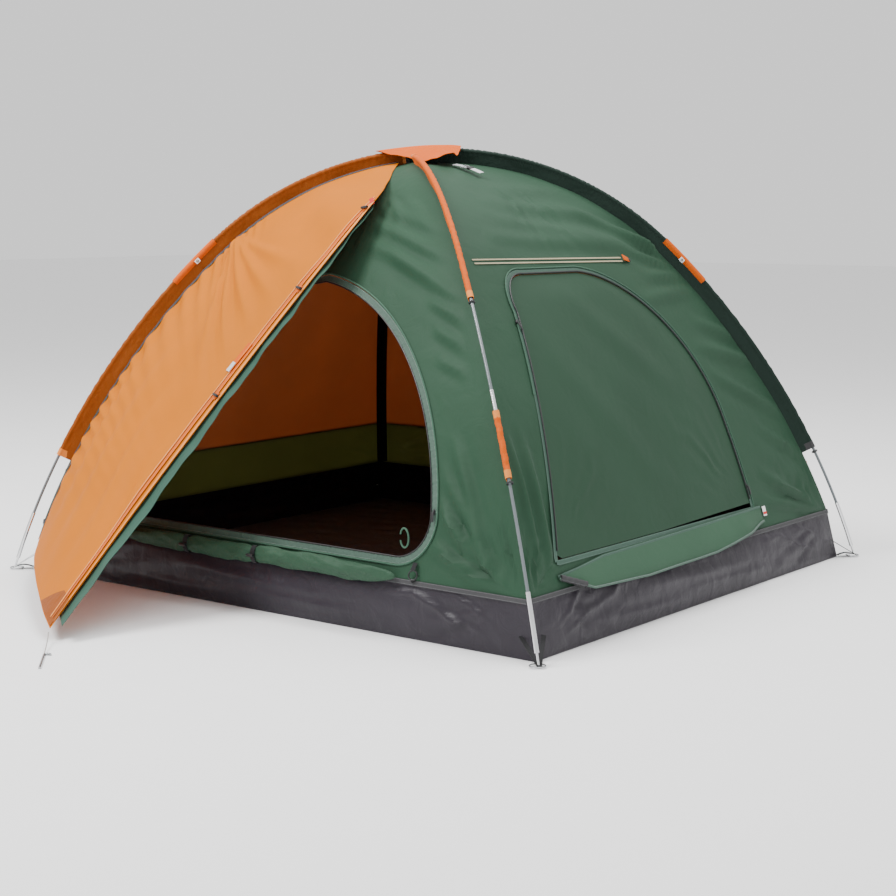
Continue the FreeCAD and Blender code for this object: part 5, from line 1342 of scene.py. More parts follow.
@dataclass
class Sleeves:
    """Cloth casings around the poles, drawn in to the canopy's seams, and the tabs over them."""

    tent: Tent
    wardrobe: Wardrobe
    casing: float = 0.0079
    neck: float = 0.0021
    upper_end: float = math.radians(47.5)
    lower: Pair = (math.radians(56.0), math.radians(60.5))
    main_end: float = math.radians(63.0)
    tab_turn: float = math.radians(45.5)

    def profile(self, share: Points, drop: float, puff: float = 0.0) -> tuple[Points, Points]:
        """Offset and sideways place of a teardrop's edge, from one side of its neck to the other."""
        radius = self.casing + puff
        low = drop - 0.003
        line = np.array([[low, -self.neck], [low * 0.55, -self.neck - 0.0014],
                         [-radius * 0.9, -radius * 0.72],
                         *[[radius * math.cos(t), radius * math.sin(t)] for t in np.linspace(-2.2, 2.2, 23)],
                         [-radius * 0.9, radius * 0.72], [low * 0.55, self.neck + 0.0014], [low, self.neck]])
        run = np.concatenate([[0], np.cumsum(np.linalg.norm(np.diff(line, axis=0), axis=1))])
        run = run / run[-1]
        return np.interp(share, run, line[:, 0]), np.interp(share, run, line[:, 1])

    def casing_along(self, name: str, pole: PoleLine, side: int, span: Pair, drop: float, finish: Finish,
                     node: str, seed: int, slot: str) -> None:
        """One sleeve with its hems, fine slanting wrinkles and slack between."""
        first, last = span
        run = pole.point(side, np.linspace(first, last, 60))
        length = length_of(run)
        columns = max(40, int(length / 0.006))

        def place(u: Points, v: Points) -> Points:
            turn = first + (last - first) * u
            around = np.abs(v - 0.5) * 2
            wrinkle = np.sin((u * length / 0.027 + 1.6 * v + 0.8 * np.sin(u * length * 19 + seed)) * TAU)
            fine = np.sin((u * length / 0.0115 - 2.1 * v + np.sin(u * length * 47 + seed)) * TAU)
            hold = smooth(u * length / 0.02) * smooth((1 - u) * length / 0.02)
            slack = (0.0006 * wrinkle + 0.0005 * fine) * hold
            offset, across = self.profile(v, drop)
            swell = 1 + slack / self.casing * np.where(around < 0.75, 1.0, 0.45)
            sway = 0.0016 * np.sin(u * length * 23 + seed) * smooth((around - 0.45) * 3) * hold
            body = np.where(offset > -self.casing, swell, 1.0)
            return pole.point(side, turn, offset * body, across * swell + sway)

        girth = length_of(np.stack(self.profile(np.linspace(0, 1, 200), drop), -1))
        piece = lay_grid(name + "_cloth", columns, 40, place, (length, girth), None, 0.0008)
        dress(piece, self.wardrobe[finish], Body.TENT, [node])
        for end, at in (("upper", first), ("lower", last)):
            step = 0.008 / pole.crown_bend * (1 if end == "upper" else -1)

            def hem(u: Points, v: Points, at: float = at, step: float = step) -> Points:
                offset, across = self.profile(0.06 + 0.88 * v, drop, 0.0009)
                return pole.point(side, at + step * u * 1.2, offset, across)

            band = lay_grid("%s_%s_hem" % (name, end), 3, 36, hem, (0.010, 0.1), None, FINE)
            dress(band, self.wardrobe[Finish.HEM if "orange" in slot or "accent" in slot else Finish.BINDING],
                  Body.TENT)

    def guy_tab(self, name: str, pole: PoleLine, side: int) -> None:
        """A tab folded over a sleeve, with a pale patch and an eye."""
        width = math.radians(4.6)

        def place(u: Points, v: Points) -> Points:
            offset, across = self.profile(0.17 + 0.66 * v, 0.0 - 0.020, 0.0028)
            return pole.point(side, self.tab_turn + width * (u - 0.5), offset, across)

        tab = lay_grid(name, 14, 30, place, (0.07, 0.08), None, 0.0012)
        dress(tab, self.wardrobe[Finish.ACCENT], Body.TENT)
        spot = pole.point(side, self.tab_turn, 0.0, 0.0)
        for sign, label in ((1, "a"), (-1, "b")):
            out = pole.across * sign
            down = unit(pole.point(side, self.tab_turn, -0.02) - spot)
            along = np.cross(out, down)
            patch = block("%s_patch_%s" % (name, label), (0.016, 0.013, 0.0012),
                          spot + out * 0.0118 + down * 0.006,
                          np.array([along, down, out]), 0.0004)
            dress(patch, self.wardrobe[Finish.WHITE_TAB], Body.TENT)
            eye = ring("%s_eye_%s" % (name, label), spot + out * 0.0126 + down * 0.006, 0.0032, 0.0011, out)
            dress(eye, self.wardrobe[Finish.PLASTIC], Body.TENT)

    def build(self) -> None:
        """Make every sleeve and tab."""
        tent = self.tent
        bare = tent.crossing_turn + math.radians(0.6)
        drop = -tent.canopy_drop
        self.casing_along("left_main_sleeve", tent.main, -1, (bare, self.main_end), drop,
                          Finish.SLEEVE_ORANGE,
                          "main_sleeve_left", 1, "sleeve_orange")
        self.casing_along("right_main_sleeve", tent.main, 1, (-bare, self.main_end), drop,
                          Finish.SLEEVE_GREEN,
                          "main_sleeve_right", 2, "sleeve_green")
        for side, label in ((1, "front"), (-1, "back")):
            start = math.radians(5.5)
            self.casing_along(label + "_upper_sleeve", tent.cross, side, (start, self.upper_end),
                              tent.cross_drop,
                              Finish.ACCENT, "cross_sleeve_%s_upper" % label, 3 + side, "accent_orange")
            self.casing_along(label + "_lower_sleeve", tent.cross, side, self.lower, tent.cross_drop,
                              Finish.ACCENT, "cross_sleeve_%s_lower" % label, 7 + side, "accent_orange")
            knob = tent.cross.point(side, self.lower[1] + 0.006, 0.004)
            bead = ring(label + "_sleeve_stop", knob, 0.0068, 0.0026,
                        unit(knob - tent.cross.point(side, self.lower[1])))
            dress(bead, self.wardrobe[Finish.PLASTIC], Body.TENT)
            tip = tent.cross.point(side, self.upper_end + 0.006)
            bead = ring(label + "_sleeve_tip", tip, 0.0066, 0.0028,
                        unit(tip - tent.cross.point(side, self.upper_end)))
            dress(bead, self.wardrobe[Finish.PLASTIC], Body.TENT)
        end = tent.main.point(1, self.main_end + 0.006)
        dress(ring("right_sleeve_tip", end, 0.0070, 0.0030, unit(end - tent.main.point(1, self.main_end))),
              self.wardrobe[Finish.PLASTIC], Body.TENT)
        self.guy_tab("right_guy_tab", tent.main, 1)
        self.guy_tab("left_guy_tab", tent.main, -1)
        keeper = lay_grid("guy_tab_keeper", 4, 4, lambda u,
                          v: tent.main.point(1, self.tab_turn + 0.01 * u, 0.0105,
                                                                              0.006 * (v - 0.5)),
                          (0.02, 0.01), None, FINE)
        dress(keeper, self.wardrobe[Finish.ACCENT], Body.TENT, ["sleeve_guy_tabs"])


@dataclass
class Hub:
    """The sleeve cap at the crossing, with its strap, buckle and the round patch inside the crown."""

    tent: Tent
    wardrobe: Wardrobe
    long: float = 0.205
    short: float = 0.060
    side: float = 0.150
    bow: float = 1.15
    lift: float = 0.0165

    def build(self) -> None:
        """Make the hub's pieces."""
        tent, wear = self.tent, self.wardrobe
        crest = tent.main.point(1, 0.0)
        along, across = tent.main.along, tent.cross.along
        ridge = crest[2] + self.lift
        low_ridge = tent.hub[2] + self.lift

        def place(u: Points, v: Points) -> Points:
            turn = u * TAU
            cos_t, sin_t = np.cos(turn), np.sin(turn)
            far = np.where(cos_t > 0, self.short, self.long)
            reach = np.abs(cos_t / far) ** self.bow + np.abs(sin_t / self.side) ** self.bow
            reach = reach ** (-1 / self.bow)
            a, b = cos_t * reach * v, sin_t * reach * v
            over_main = ridge - a ** 2 / 2.1 - 0.52 * np.sqrt(b ** 2 + 0.012 ** 2) + 0.0062
            over_cross = low_ridge - b ** 2 / 2.1 - 0.52 * np.sqrt(a ** 2 + 0.012 ** 2) + 0.0062
            top = np.logaddexp(over_main * 260, over_cross * 260) / 260
            pucker = 0.0016 * np.sin(turn * 11 + v * 4) * v ** 2 + 0.0009 * np.sin(turn * 23) * v
            flat = crest + along * a[:, None] + across * b[:, None]
            return np.stack([flat[:, 0], flat[:, 1], top + pucker], -1)

        cap = lay_grid("hub_cap_cloth", 120, 26, place, (0.7, 0.12), (0, 0, 1), 0.0014, True)
        dress(cap, wear[Finish.ACCENT], Body.TENT, ["hub_cap"])
        self.strap()
        self.crown()

    def strap(self) -> None:
        """A webbing strap to the right of the hub, and its buckle."""
        wear = self.wardrobe
        lo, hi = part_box("hub_strap")
        start, end = np.array([lo[0], lo[1] + 0.010, hi[2] - 0.004]), np.array([hi[0], hi[1] - 0.010,
                                                                                lo[2] + 0.006])
        share = np.linspace(0, 1, 30)
        path = mix(start[None], end[None], share) + np.array([[0, 0, 0.004]]) * np.sin(math.pi * share)[:,
                                                                                                        None]
        strap = lay_ribbon("hub_strap_webbing", path, np.tile([0.25, -0.15, 0.95], (30, 1)), 0.020, 0.0014,
                           rows=6)
        dress(strap, wear[Finish.WHITE_WEBBING], Body.TENT, ["hub_strap"])
        middle = middle_of("hub_buckle")
        way = unit(end - start)
        facing = unit(np.cross(way, np.cross([0.25, -0.15, 0.95], way)))
        axes = np.array([way, np.cross(facing, way), facing])
        for index, (shift, size, finish) in enumerate(((-0.010, (0.020, 0.026, 0.006), Finish.CLEAR),
                                                       (0.010, (0.014, 0.023, 0.007), Finish.PLASTIC),
                                                       (0.0, (0.030, 0.010, 0.008), Finish.PLASTIC))):
            piece = block("hub_buckle_%d" % (index + 1), size, middle + way * shift, axes, 0.0015, 0.15)
            dress(piece, wear[finish], Body.TENT, ["hub_buckle"] if not index else [])

    def crown(self) -> None:
        """The round patch inside the crown."""
        wear = self.wardrobe
        lo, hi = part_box("crown_patch")
        middle, radius = (np.array(lo) + np.array(hi)) / 2, (hi[0] - lo[0]) / 2

        def place(u: Points, v: Points) -> Points:
            turn, reach = u * TAU, 0.002 + (radius - 0.002) * v
            dome = (1 - (reach / radius) ** 2) * 0.002 + 0.0006 * np.sin(turn * 9) * v
            return middle + np.stack([np.cos(turn) * reach, np.sin(turn) * reach, dome], -1)

        patch = lay_grid("crown_patch_cloth", 60, 10, place, (0.4, 0.08), (0, 0, 1), 0.0012, True)
        dress(patch, wear[Finish.WALL], Body.TENT, ["crown_patch"])


# ------------------------------------------------------------------ doorway and hatch fittings

class Slider:
    """A zip slider and its pull, placed on their own bodies."""

    def __init__(self, wardrobe: Wardrobe, name: str, slider_node: str, pull_node: str,
                 slider_body: Body, pull_body: Body) -> None:
        """Keep which nodes and bodies it stands for."""
        self.wardrobe, self.name = wardrobe, name
        self.nodes, self.bodies = (slider_node, pull_node), (slider_body, pull_body)

    def build(self, outward: Points, travel: Points) -> None:
        """Make the slider's body, and a pull with an eye and a grip."""
        outward = unit(outward)
        travel = unit(travel - outward * float(travel @ outward))
        sideways = np.cross(outward, travel)
        axes = np.array([travel, sideways, outward])
        spot = middle_of(self.nodes[0])
        base = block(self.name + "_base", (0.014, 0.0090, 0.0022), spot - outward * 0.0012, axes, 0.0008, 0.3)
        crown = block(self.name + "_crown", (0.009, 0.0060, 0.0022), spot + outward * 0.0008, axes, 0.0008,
                      0.3)
        body = join(self.name + "_slider_shell", [base, crown])
        dress(body, self.wardrobe[Finish.PLASTIC], self.bodies[0], [self.nodes[0]])
        grip = middle_of(self.nodes[1])
        hang = unit(grip - spot - outward * float((grip - spot) @ outward))
        side = np.cross(outward, hang)
        pull_axes = np.array([hang, side, outward])
        plate = block(self.name + "_pull_plate", (0.027, 0.0068, 0.0015), grip, pull_axes, 0.0005, -0.15)
        ridges = [block("%s_ridge_%d" % (self.name, k), (0.0012, 0.0052, 0.0006),
                        grip + hang * (0.004 + 0.003 * k)
                        + outward * 0.0009, pull_axes, 0.0002) for k in range(3)]
        pull = join(self.name + "_pull_tag", [plate] + ridges)
        dress(pull, self.wardrobe[Finish.PLASTIC], self.bodies[1], [self.nodes[1]])


@dataclass
class Doorway:
    """The rolled-up door under the opening, its ties and toggles, and the hook ring."""

    tent: Tent
    wardrobe: Wardrobe

    def roll(self) -> None:
        """The door cloth, gathered into an uneven roll."""
        lo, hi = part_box("front_door_roll")
        middle = middle_of("front_door_roll")
        deep, tall = (hi[1] - lo[1]) / 2, (hi[2] - lo[2]) / 2
        length = hi[0] - lo[0]
        ties = (-0.250, 0.017)

        def place(u: Points, v: Points) -> Points:
            x = lo[0] + length * u
            turn = v * TAU
            pinch = 1 - 0.24 * sum(np.exp(-((x - tie) / 0.018) ** 2) for tie in ties)
            ends = np.sqrt(np.clip(1 - (np.abs(u - 0.5) * 2) ** 7, 0.002, 1))
            spots = np.stack([x, np.cos(turn) * 0.05, np.sin(turn) * 0.05], -1)
            crease = 0.07 * ripple(spots * [1.0, 2.4, 2.4], 0.075, 41,
                                   10) + 0.04 * ripple(spots * [1, 4, 4], 0.05, 43)
            slant = 0.07 * np.sin(turn * 3 + x * 34 + 2 * np.sin(x * 9)) + 0.04 * np.sin(turn * 5 - x * 61)
            size = np.clip((0.86 + crease + slant) * pinch * ends, 0.02, 1.0)
            sag = 0.0035 * np.sin(x * 12) + 0.002 * np.sin(x * 31)
            return np.stack([x, middle[1] + np.cos(turn) * deep * size,
                             middle[2] + np.sin(turn) * tall * size * 0.96
                             + sag * 0.5], -1)

        roll = lay_grid("rolled_door_cloth", 320, 44, place, (length, 0.25), None, 0.0, True)
        close_ends(roll, 60.0)
        dress(roll, self.wardrobe[Finish.ROLL], Body.TENT, ["front_door_roll"])

    def ties(self) -> None:
        """Webbing round the roll with a toggle on each."""
        lo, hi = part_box("front_door_roll")
        middle = middle_of("front_door_roll")
        deep, tall = (hi[1] - lo[1]) / 2, (hi[2] - lo[2]) / 2
        turn = np.linspace(0, TAU, 50, endpoint=False)
        for index, x in enumerate((-0.250, 0.017)):
            path = np.stack([x + 0 * turn, middle[1] + np.cos(turn) * deep * 0.82,
                             middle[2] + np.sin(turn) * tall * 0.80],
                            -1)
            outward = np.stack([0 * turn, np.cos(turn) / deep, np.sin(turn) / tall], -1)
            band = lay_ribbon("door_tie_%d" % (index + 1), path, unit(outward), 0.016, 0.0011, lift=0.001,
                              closed=True)
            dress(band, self.wardrobe[Finish.WEBBING], Body.TENT,
                  ["front_door_ties"] if not index else [])
        lo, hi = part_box("front_door_toggles")
        for index, x in enumerate((lo[0] + 0.013, hi[0] - 0.013)):
            spot = np.array([x, (lo[1] + hi[1]) / 2, (lo[2] + hi[2]) / 2])
            path = spot + np.stack([np.linspace(-0.0125, 0.0125, 9), np.zeros(9), np.zeros(9)], -1)
            toggle = lay_tube("door_toggle_%d" % (index + 1), path, 0.0042, 14, 0.002, bead=0.0005,
                              bead_pitch=0.025)
            dress(toggle, self.wardrobe[Finish.PLASTIC], Body.TENT,
                  ["front_door_toggles"] if not index else [])

    def hook(self) -> None:
        """The ring to the right of the opening, on its strap."""
        middle = middle_of("door_hook")
        hoop = ring("door_hook_ring", middle, 0.0125, 0.0021, (0.17, -0.95, 0.25))
        dress(hoop, self.wardrobe[Finish.PLASTIC], Body.TENT, ["door_hook"])
        top = middle + [0.0, -0.001, 0.013]
        foot = self.tent.front.on([middle[0] + 0.004], [0.152], 0.006)[0]
        high = self.tent.front.on([middle[0]], [middle[2] + 0.030], 0.005)[0]
        for name, ends in (("hook_strap", (high, top)), ("hook_lower_strap", (middle - [0, 0, 0.012], foot))):
            path = mix(ends[0][None], ends[1][None], np.linspace(0, 1, 12))
            strap = lay_ribbon(name, path, np.tile([0.1, -0.95, 0.2], (12, 1)), 0.013, 0.0012)
            dress(strap, self.wardrobe[Finish.WEBBING], Body.TENT)

    def build(self) -> None:
        """Make the doorway's fittings."""
        self.roll()
        self.ties()
        self.hook()
        middle = middle_of("front_slider")
        slider = Slider(self.wardrobe, "front_zip", "front_slider", "front_pull", Body.FRONT_SLIDER,
                        Body.FRONT_PULL)
        down, over = self.tent.front.locate([middle[0]], [middle[2]])
        slider.build(self.tent.front.normal(down, over)[0], np.array([-0.1, 0.0, 1.0]))


@dataclass
class Hatch:
    """The hatch's sliders, the storm flap under it and the small label."""

    tent: Tent
    wardrobe: Wardrobe
    flap_top: tuple = ((-0.712, 0.192), (-0.487, 0.216), (0.385, 0.227), (0.405, 0.226))
    flap_hem: tuple = ((-0.712, 0.186), (-0.600, 0.146), (-0.331, 0.134), (0.050, 0.139), (0.421, 0.180))

    def lifting(self, piece: bpy.types.Object, finish: Finish, nodes: Sequence[str] = ()) -> None:
        """Dress a piece of the storm flap, which is sewn down at its top; it is put on no body, and its place
        is applied to its mesh.
        """
        dress(piece, self.wardrobe[finish], None, nodes)
        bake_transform(piece)

    def flap(self) -> None:
        """The storm flap: a shallow curved cloth that hangs from a seam, rolled at its front end."""
        wall = self.tent.right
        lo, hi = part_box("storm_flap")
        top, hem = np.array(self.flap_top), np.array(self.flap_hem)
        first, last = lo[1] + 0.002, hi[1] - 0.002

        def place(u: Points, v: Points) -> Points:
            y = first + (last - first) * u
            high = np.interp(y, top[:, 0], top[:, 1]) - 0.004
            low = np.interp(y, hem[:, 0], hem[:, 1]) + 0.001
            low = np.minimum(low, high - 0.006)
            z = high + (low - high) * v
            full = smooth(u * 9) * smooth((1 - u) * 7)
            base = wall.on(y, np.maximum(z, 0.1515), 0.0)
            base[:, 2] = z
            stand = 0.004 + 0.026 * v ** 1.1 * full + 0.0055 * np.sin(math.pi * v) * full
            stand = stand + 0.0014 * ripple(np.stack([y, z * 2, y * 0], -1), 0.12, 51) * v * full
            lip = 0.004 * np.exp(-((v - 1) / 0.06) ** 2)
            return base + np.stack([stand + lip, y * 0, y * 0], -1)

        flap = lay_grid("storm_flap_cloth", 200, 22, place, (1.12, 0.09), (1, 0, 0), 0.0011)
        self.lifting(flap, Finish.FLAP, ["storm_flap"])
        share = np.linspace(0.0, 1.0, 150)
        edge = place(share, np.full(150, 0.985))
        hem_tape = lay_ribbon("storm_flap_hem", edge, np.tile([0.93, 0, 0.35], (150, 1)), 0.007, lift=0.0009)
        self.lifting(hem_tape, Finish.DOOR_TAPE)
        seam = place(share, np.full(150, 0.06))
        seam_tape = lay_ribbon("storm_flap_seam", seam, np.tile([0.93, 0, 0.35], (150, 1)), 0.008,
                               lift=0.0012)
        self.lifting(seam_tape, Finish.HATCH_TAPE)
        ends = place(np.array([0.006, 0.075]), np.array([0.6, 0.93]))
        roll = mix(ends[0][None], ends[1][None], np.linspace(0, 1, 20)) + np.array([0.002, 0, 0])
        lip = lay_tube("storm_flap_rolled_end", roll, 0.0075, 12, 0.004, bead=0.0015, bead_pitch=0.02)
        self.lifting(lip, Finish.BINDING)

    def label(self) -> None:
        """A plain tab of white and red webbing by the hatch's lower back corner."""
        lo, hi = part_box("side_tab")
        middle = middle_of("side_tab")
        tall, wide = hi[2] - lo[2], hi[1] - lo[1]
        facing = np.array([0.95, 0.0, 0.31])
        axes = np.array([[0, 1.0, 0], np.cross(facing, [0, 1.0, 0]), facing])
        white = block("side_tab_white", (wide * 0.9, tall * 0.9, 0.0014), middle, axes, 0.0004)
        dress(white, self.wardrobe[Finish.WHITE_TAB], Body.TENT, ["side_tab"])
        red = block("side_tab_stripe", (wide * 0.9, tall * 0.22, 0.0008),
                    middle + facing * 0.0009 - axes[1] * 0.006,
                    axes, 0.0002)
        dress(red, self.wardrobe[Finish.RED_TAB], Body.TENT)

    def upper_slider(self) -> None:
        """The second slider, parked high on the front slope of the hatch's zip."""
        wall = self.tent.right
        spot = wall.on([-0.452], [0.812], 0.005)[0]
        ahead = wall.on([-0.418], [0.842], 0.005)[0]
        down, over = wall.locate([-0.452], [0.812])
        outward = wall.normal(down, over)[0]
        way = unit(ahead - spot)
        axes = np.array([way, np.cross(outward, way), outward])
        shell = block("upper_slider_shell", (0.014, 0.009, 0.0045), spot, axes, 0.0010, 0.3)
        hang = unit(np.array([0.3, 0.05, -1.0]) - outward * float(np.array([0.3, 0.05, -1.0]) @ outward))
        plate = block("upper_slider_pull", (0.026, 0.0066, 0.0015), spot + hang * 0.017 + outward * 0.003,
                      np.array([hang, np.cross(outward, hang), outward]), 0.0005)
        dress(join("upper_hatch_slider", [shell, plate]), self.wardrobe[Finish.PLASTIC], Body.TENT)

    def build(self) -> None:
        """Make the hatch's fittings."""
        self.flap()
        self.label()
        self.upper_slider()
        middle = middle_of("hatch_slider")
        down, over = self.tent.right.locate([middle[1]], [middle[2]])
        slider = Slider(self.wardrobe, "hatch_zip", "hatch_slider", "hatch_pull", Body.HATCH_SLIDER,
                        Body.HATCH_PULL)
        slider.build(self.tent.right.normal(down, over)[0], np.array([0.0, 0.0, 1.0]))


# ------------------------------------------------------------------ wing

@dataclass
class Wing:
    """Half of a porch: one sheet from the front left seam to its free edge, pegged at its tip."""

    tent: Tent
    wardrobe: Wardrobe
    front: float = 0.020
    clear: float = 0.010
    belly: float = 0.028
    turns: Pair = (math.radians(8.0), math.radians(69.5))
    edge: tuple = ((0.095, -0.409, 1.166), (0.133, -0.850, 0.850), (-0.233, -0.770, 0.569),
                   (-0.170, -1.450, 0.034))
    bend_start: Triple = (0.04, -0.70, 0.88)
    bend_end: Triple = (0.22, -0.855, 0.776)

    def seam(self, share: Points) -> Points:
        """Points of the sewn line, just over the front wall."""
        first, last = self.turns
        turn = first + (last - first) * share
        step = 0.01
        a, b = self.tent.front_left.at(turn), self.tent.front_right.at(turn)
        below = self.tent.front_left.at(turn + step) + self.tent.front_right.at(turn + step)
        along = unit(b - a)
        inward = unit(np.cross(along, below - a - b))
        inward = inward * np.where(inward[:, 2:] > 0, -1, 1)
        return a + along * self.front - inward * self.clear

    def free(self, share: Points) -> Points:
        """Points of the free edge."""
        p = [np.array([spot]) for spot in self.edge]
        s = np.asarray(share, float)[:, None]
        return (1 - s) ** 3 * p[0] + 3 * s * (1 - s) ** 2 * p[1] + 3 * s * s * (1 - s) * p[2] + s ** 3 * p[3]

    def sheet_at(self, share: Points, over: Points) -> tuple[Points, Points]:
        """Points of the wing and its outward normals, before creasing."""
        start, end = self.seam(share), self.free(share)
        step = 0.02
        below = self.seam(share + step) + self.free(share + step)
        slope = below - self.seam(share - step) - self.free(share - step)
        outward = unit(np.cross(slope, end - start))
        outward = outward * np.where(outward[:, 1:2] > 0, -1, 1)
        flat = mix(start, end, over)
        return flat + outward * (self.belly * 4 * over * (1 - over) * smooth(share * 5) ** 0.5)[:,
                                                                                                None], outward

    def creases(self, share: Points, over: Points) -> Points:
        """Creases: from the sleeve's clip, ruffles at the sewn edge, and pulled lines to the tip."""
        spread = np.zeros(len(share))
        clip = 0.52
        for slope, depth, width in ((0.55, 0.006, 0.016), (0.22, 0.007, 0.016), (-0.12, 0.006, 0.015),
                                    (-0.45, 0.005, 0.015), (0.95, 0.004, 0.018)):
            line = clip - slope * over * 0.30
            ridge = np.exp(-((share - line) / (width * (0.5 + over))) ** 2)
            spread += depth * ridge * smooth(over * 7) * smooth((0.92 - over) * 2.2)
        tip = np.sin((over * 4.2 + 0.4 * np.sin(share * 11)) * TAU) * smooth((share - 0.55) * 2.4)
        spread += 0.0048 * tip * smooth(over * 8) * smooth((1 - over) * 8) * smooth((1 - share) * 5)
        ruffle = np.sin(share * 74 * TAU / 2 + 3 * np.sin(share * 23)) * smooth((share - 0.35) * 3)
        spread += 0.0042 * ruffle * np.exp(-over / 0.22) * smooth(over * 18) * smooth((1 - share) * 7)
        crown = np.sin((share * 10 + over * 1.5) * TAU / 2) * np.exp(-((share - 0.18) / 0.16) ** 2)
        spread += 0.003 * crown * smooth(over * 7) * smooth((1 - over) * 5)
        spots = np.stack([share * 1.6, over * 0.5, share * 0], -1)
        return 2.4 * spread + 0.0050 * ripple(spots, 0.22, 61) * smooth(over * 6) * smooth((1 - over) * 6)

    def on(self, share: Points, over: Points, lift: Points = 0.0) -> Points:
        """Points on the creased wing, or lifted off it."""
        share, over = np.broadcast_arrays(np.atleast_1d(share).astype(float),
                                          np.atleast_1d(over).astype(float))
        spots, outward = self.sheet_at(share, over)
        return spots + outward * (self.creases(share, over) + lift)[:, None]

    def bent(self, piece: bpy.types.Object, finish: Finish,
             nodes: Sequence[str] = ()) -> bpy.types.Object:
        """Dress a piece that spans from the tent to the wing; it is put on no body, and its place is applied
        to its mesh.
        """
        dress(piece, self.wardrobe[finish], None, nodes)
        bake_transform(piece)
        return piece

    def cloth(self) -> None:
        """The wing's sheet, and the lining behind its free edge."""
        def place(u: Points, v: Points) -> Points:
            return self.on(u, v)

        sheet = lay_grid("wing_cloth", 300, 64, place, (1.75, 0.50), (0, -1, 0.2), 0.0011)
        self.bent(sheet, Finish.ORANGE, ["wing_root", "wing_flap"])

        def behind(u: Points, v: Points) -> Points:
            share = 0.04 + 0.945 * u
            start, end = self.seam(share), self.free(share)
            along = unit(end - start)
            reach = 0.010 + 0.046 * np.minimum(1.2 * share, 1.0) * smooth((share - 0.02) * 6)
            wave = 0.004 * np.sin(share * 41) + 0.002 * np.sin(share * 97)
            spots = end + along * (reach * v - 0.045 * (1 - v))[:, None]
            slope = unit(np.cross(self.free(share + 0.01) - self.free(share - 0.01), along))
            slope = slope * np.where(slope[:, 1:2] > 0, -1, 1)
            return spots - slope * (0.008 + wave * v * 0.6)[:, None]

        lining = lay_grid("wing_lining_cloth", 220, 12, behind, (1.35, 0.10), (0, -1, 0.2), 0.0009)
        self.bent(lining, Finish.LINING, ["wing_root_lining", "wing_flap_lining"])

    def edging(self) -> None:
        """The darker zip strip inside the free edge, its hem and the seam's binding."""
        share = np.linspace(0.03, 0.992, 240)
        width = np.linalg.norm(self.free(share) - self.seam(share), axis=1)
        for name, inset, wide, lift, finish, body_slot in (
                ("wing_zip_strip", 0.030, 0.016, 0.0022, Finish.ZIP_STRIP, "orange_cloth"),
                ("wing_hem", 0.0055, 0.010, 0.0016, Finish.HEM, "orange_cloth")):
            over = 1 - np.minimum(inset / width, 0.5)
            path = self.on(share, over)
            _, outward = self.sheet_at(share, over)
            strip = lay_ribbon(name, path, outward, wide, lift=lift)
            self.bent(strip, finish)
        over = 1 - np.minimum(0.0405 / width, 0.6)
        coil = lay_tube("wing_zip_coil", self.on(share, over, 0.003), 0.0018, 8, 0.006, bead=0.0004,
                        bead_pitch=0.012)
        self.bent(coil, Finish.HEM)
        path = self.on(np.linspace(0.0, 0.995, 240), 0.012)
        _, outward = self.sheet_at(np.linspace(0.0, 0.995, 240), np.full(240, 0.012))
        self.bent(lay_ribbon("wing_seam_binding", path, outward, 0.012, lift=0.002, ruffle=0.0012),
                  Finish.BINDING)

    def joined_seam(self) -> None:
        """The strip of cloth that sews the wing to the front wall, in the darkened sleeve orange, which
        paints in the shade along the seam.
        """
        def place(u: Points, v: Points) -> Points:
            high = self.seam(0.002 + 0.994 * u)
            first, last = self.turns
            turn = first + (last - first) * u
            a, b = self.tent.front_left.at(turn), self.tent.front_right.at(turn)
            low = a + unit(b - a) * 0.004
            return mix(high, low, v)

        strip = lay_grid("wing_seam_strip", 200, 4, place, (1.6, 0.02), (0, -1, 0.2), 0.0008)
        self.bent(strip, Finish.SLEEVE_ORANGE)

    def fix(self, piece: bpy.types.Object, still: bool, finish: Finish,
            nodes: Sequence[str] = ()) -> None:
        """Dress a small piece, on the tent's body when it is still; else it is put on no body and its place
        is applied to its mesh.
        """
        if still:
            dress(piece, self.wardrobe[finish], Body.TENT, nodes)
        else:
            self.bent(piece, finish, nodes)

    def fittings(self) -> None:
        """Toggles, the strap at the upper clip, the tip's patch and the red tab."""
        wear = self.wardrobe
        for index, share in enumerate((0.06, 0.30, 0.585)):
            width = np.linalg.norm(self.free(np.array([share])) - self.seam(np.array([share])))
            over = 1 - 0.016 / width
            spot = self.on(share, over, 0.009)[0]
            _, outward = self.sheet_at(np.array([share]), np.array([over]))
            way = unit(self.free(np.array([share + 0.01])) - self.free(np.array([share - 0.01])))[0]
            across = unit(np.cross(outward[0], way))
            path = spot + across * np.linspace(-0.012, 0.012, 9)[:, None]
            toggle = lay_tube("wing_toggle_%d" % (index + 1), path, 0.0040, 12, 0.002, bead=0.0005,
                              bead_pitch=0.024)
            self.fix(toggle, index < 2, Finish.PLASTIC,
                     ["wing_toggles"] if not index else [])
            loop = lay_ribbon("wing_toggle_loop_%d" % (index + 1),
                              spot - outward[0] * 0.006 + way * np.linspace(
                -0.012, 0.012, 8)[:, None], np.tile(outward, (8, 1)), 0.008, 0.0009)
            self.fix(loop, index < 2, Finish.ACCENT)
        share = np.linspace(0.47, 0.545, 14)
        over = np.full(14, 0.93)
        path = self.on(share, over)
        _, outward = self.sheet_at(share, over)
        strap = lay_ribbon("wing_strap", path, outward, 0.022, 0.0014, lift=0.004)
        self.bent(strap, Finish.ACCENT)
        end = lay_ribbon("wing_strap_end", path[-5:], outward[-5:], 0.018, 0.0012, lift=0.0062)
        self.bent(end, Finish.WHITE_WEBBING)

        def place(u: Points, v: Points) -> Points:
            share = 0.962 + 0.036 * u
            return self.on(share, 0.995 - 0.22 * v * (0.35 + 0.65 * u), 0.0022)

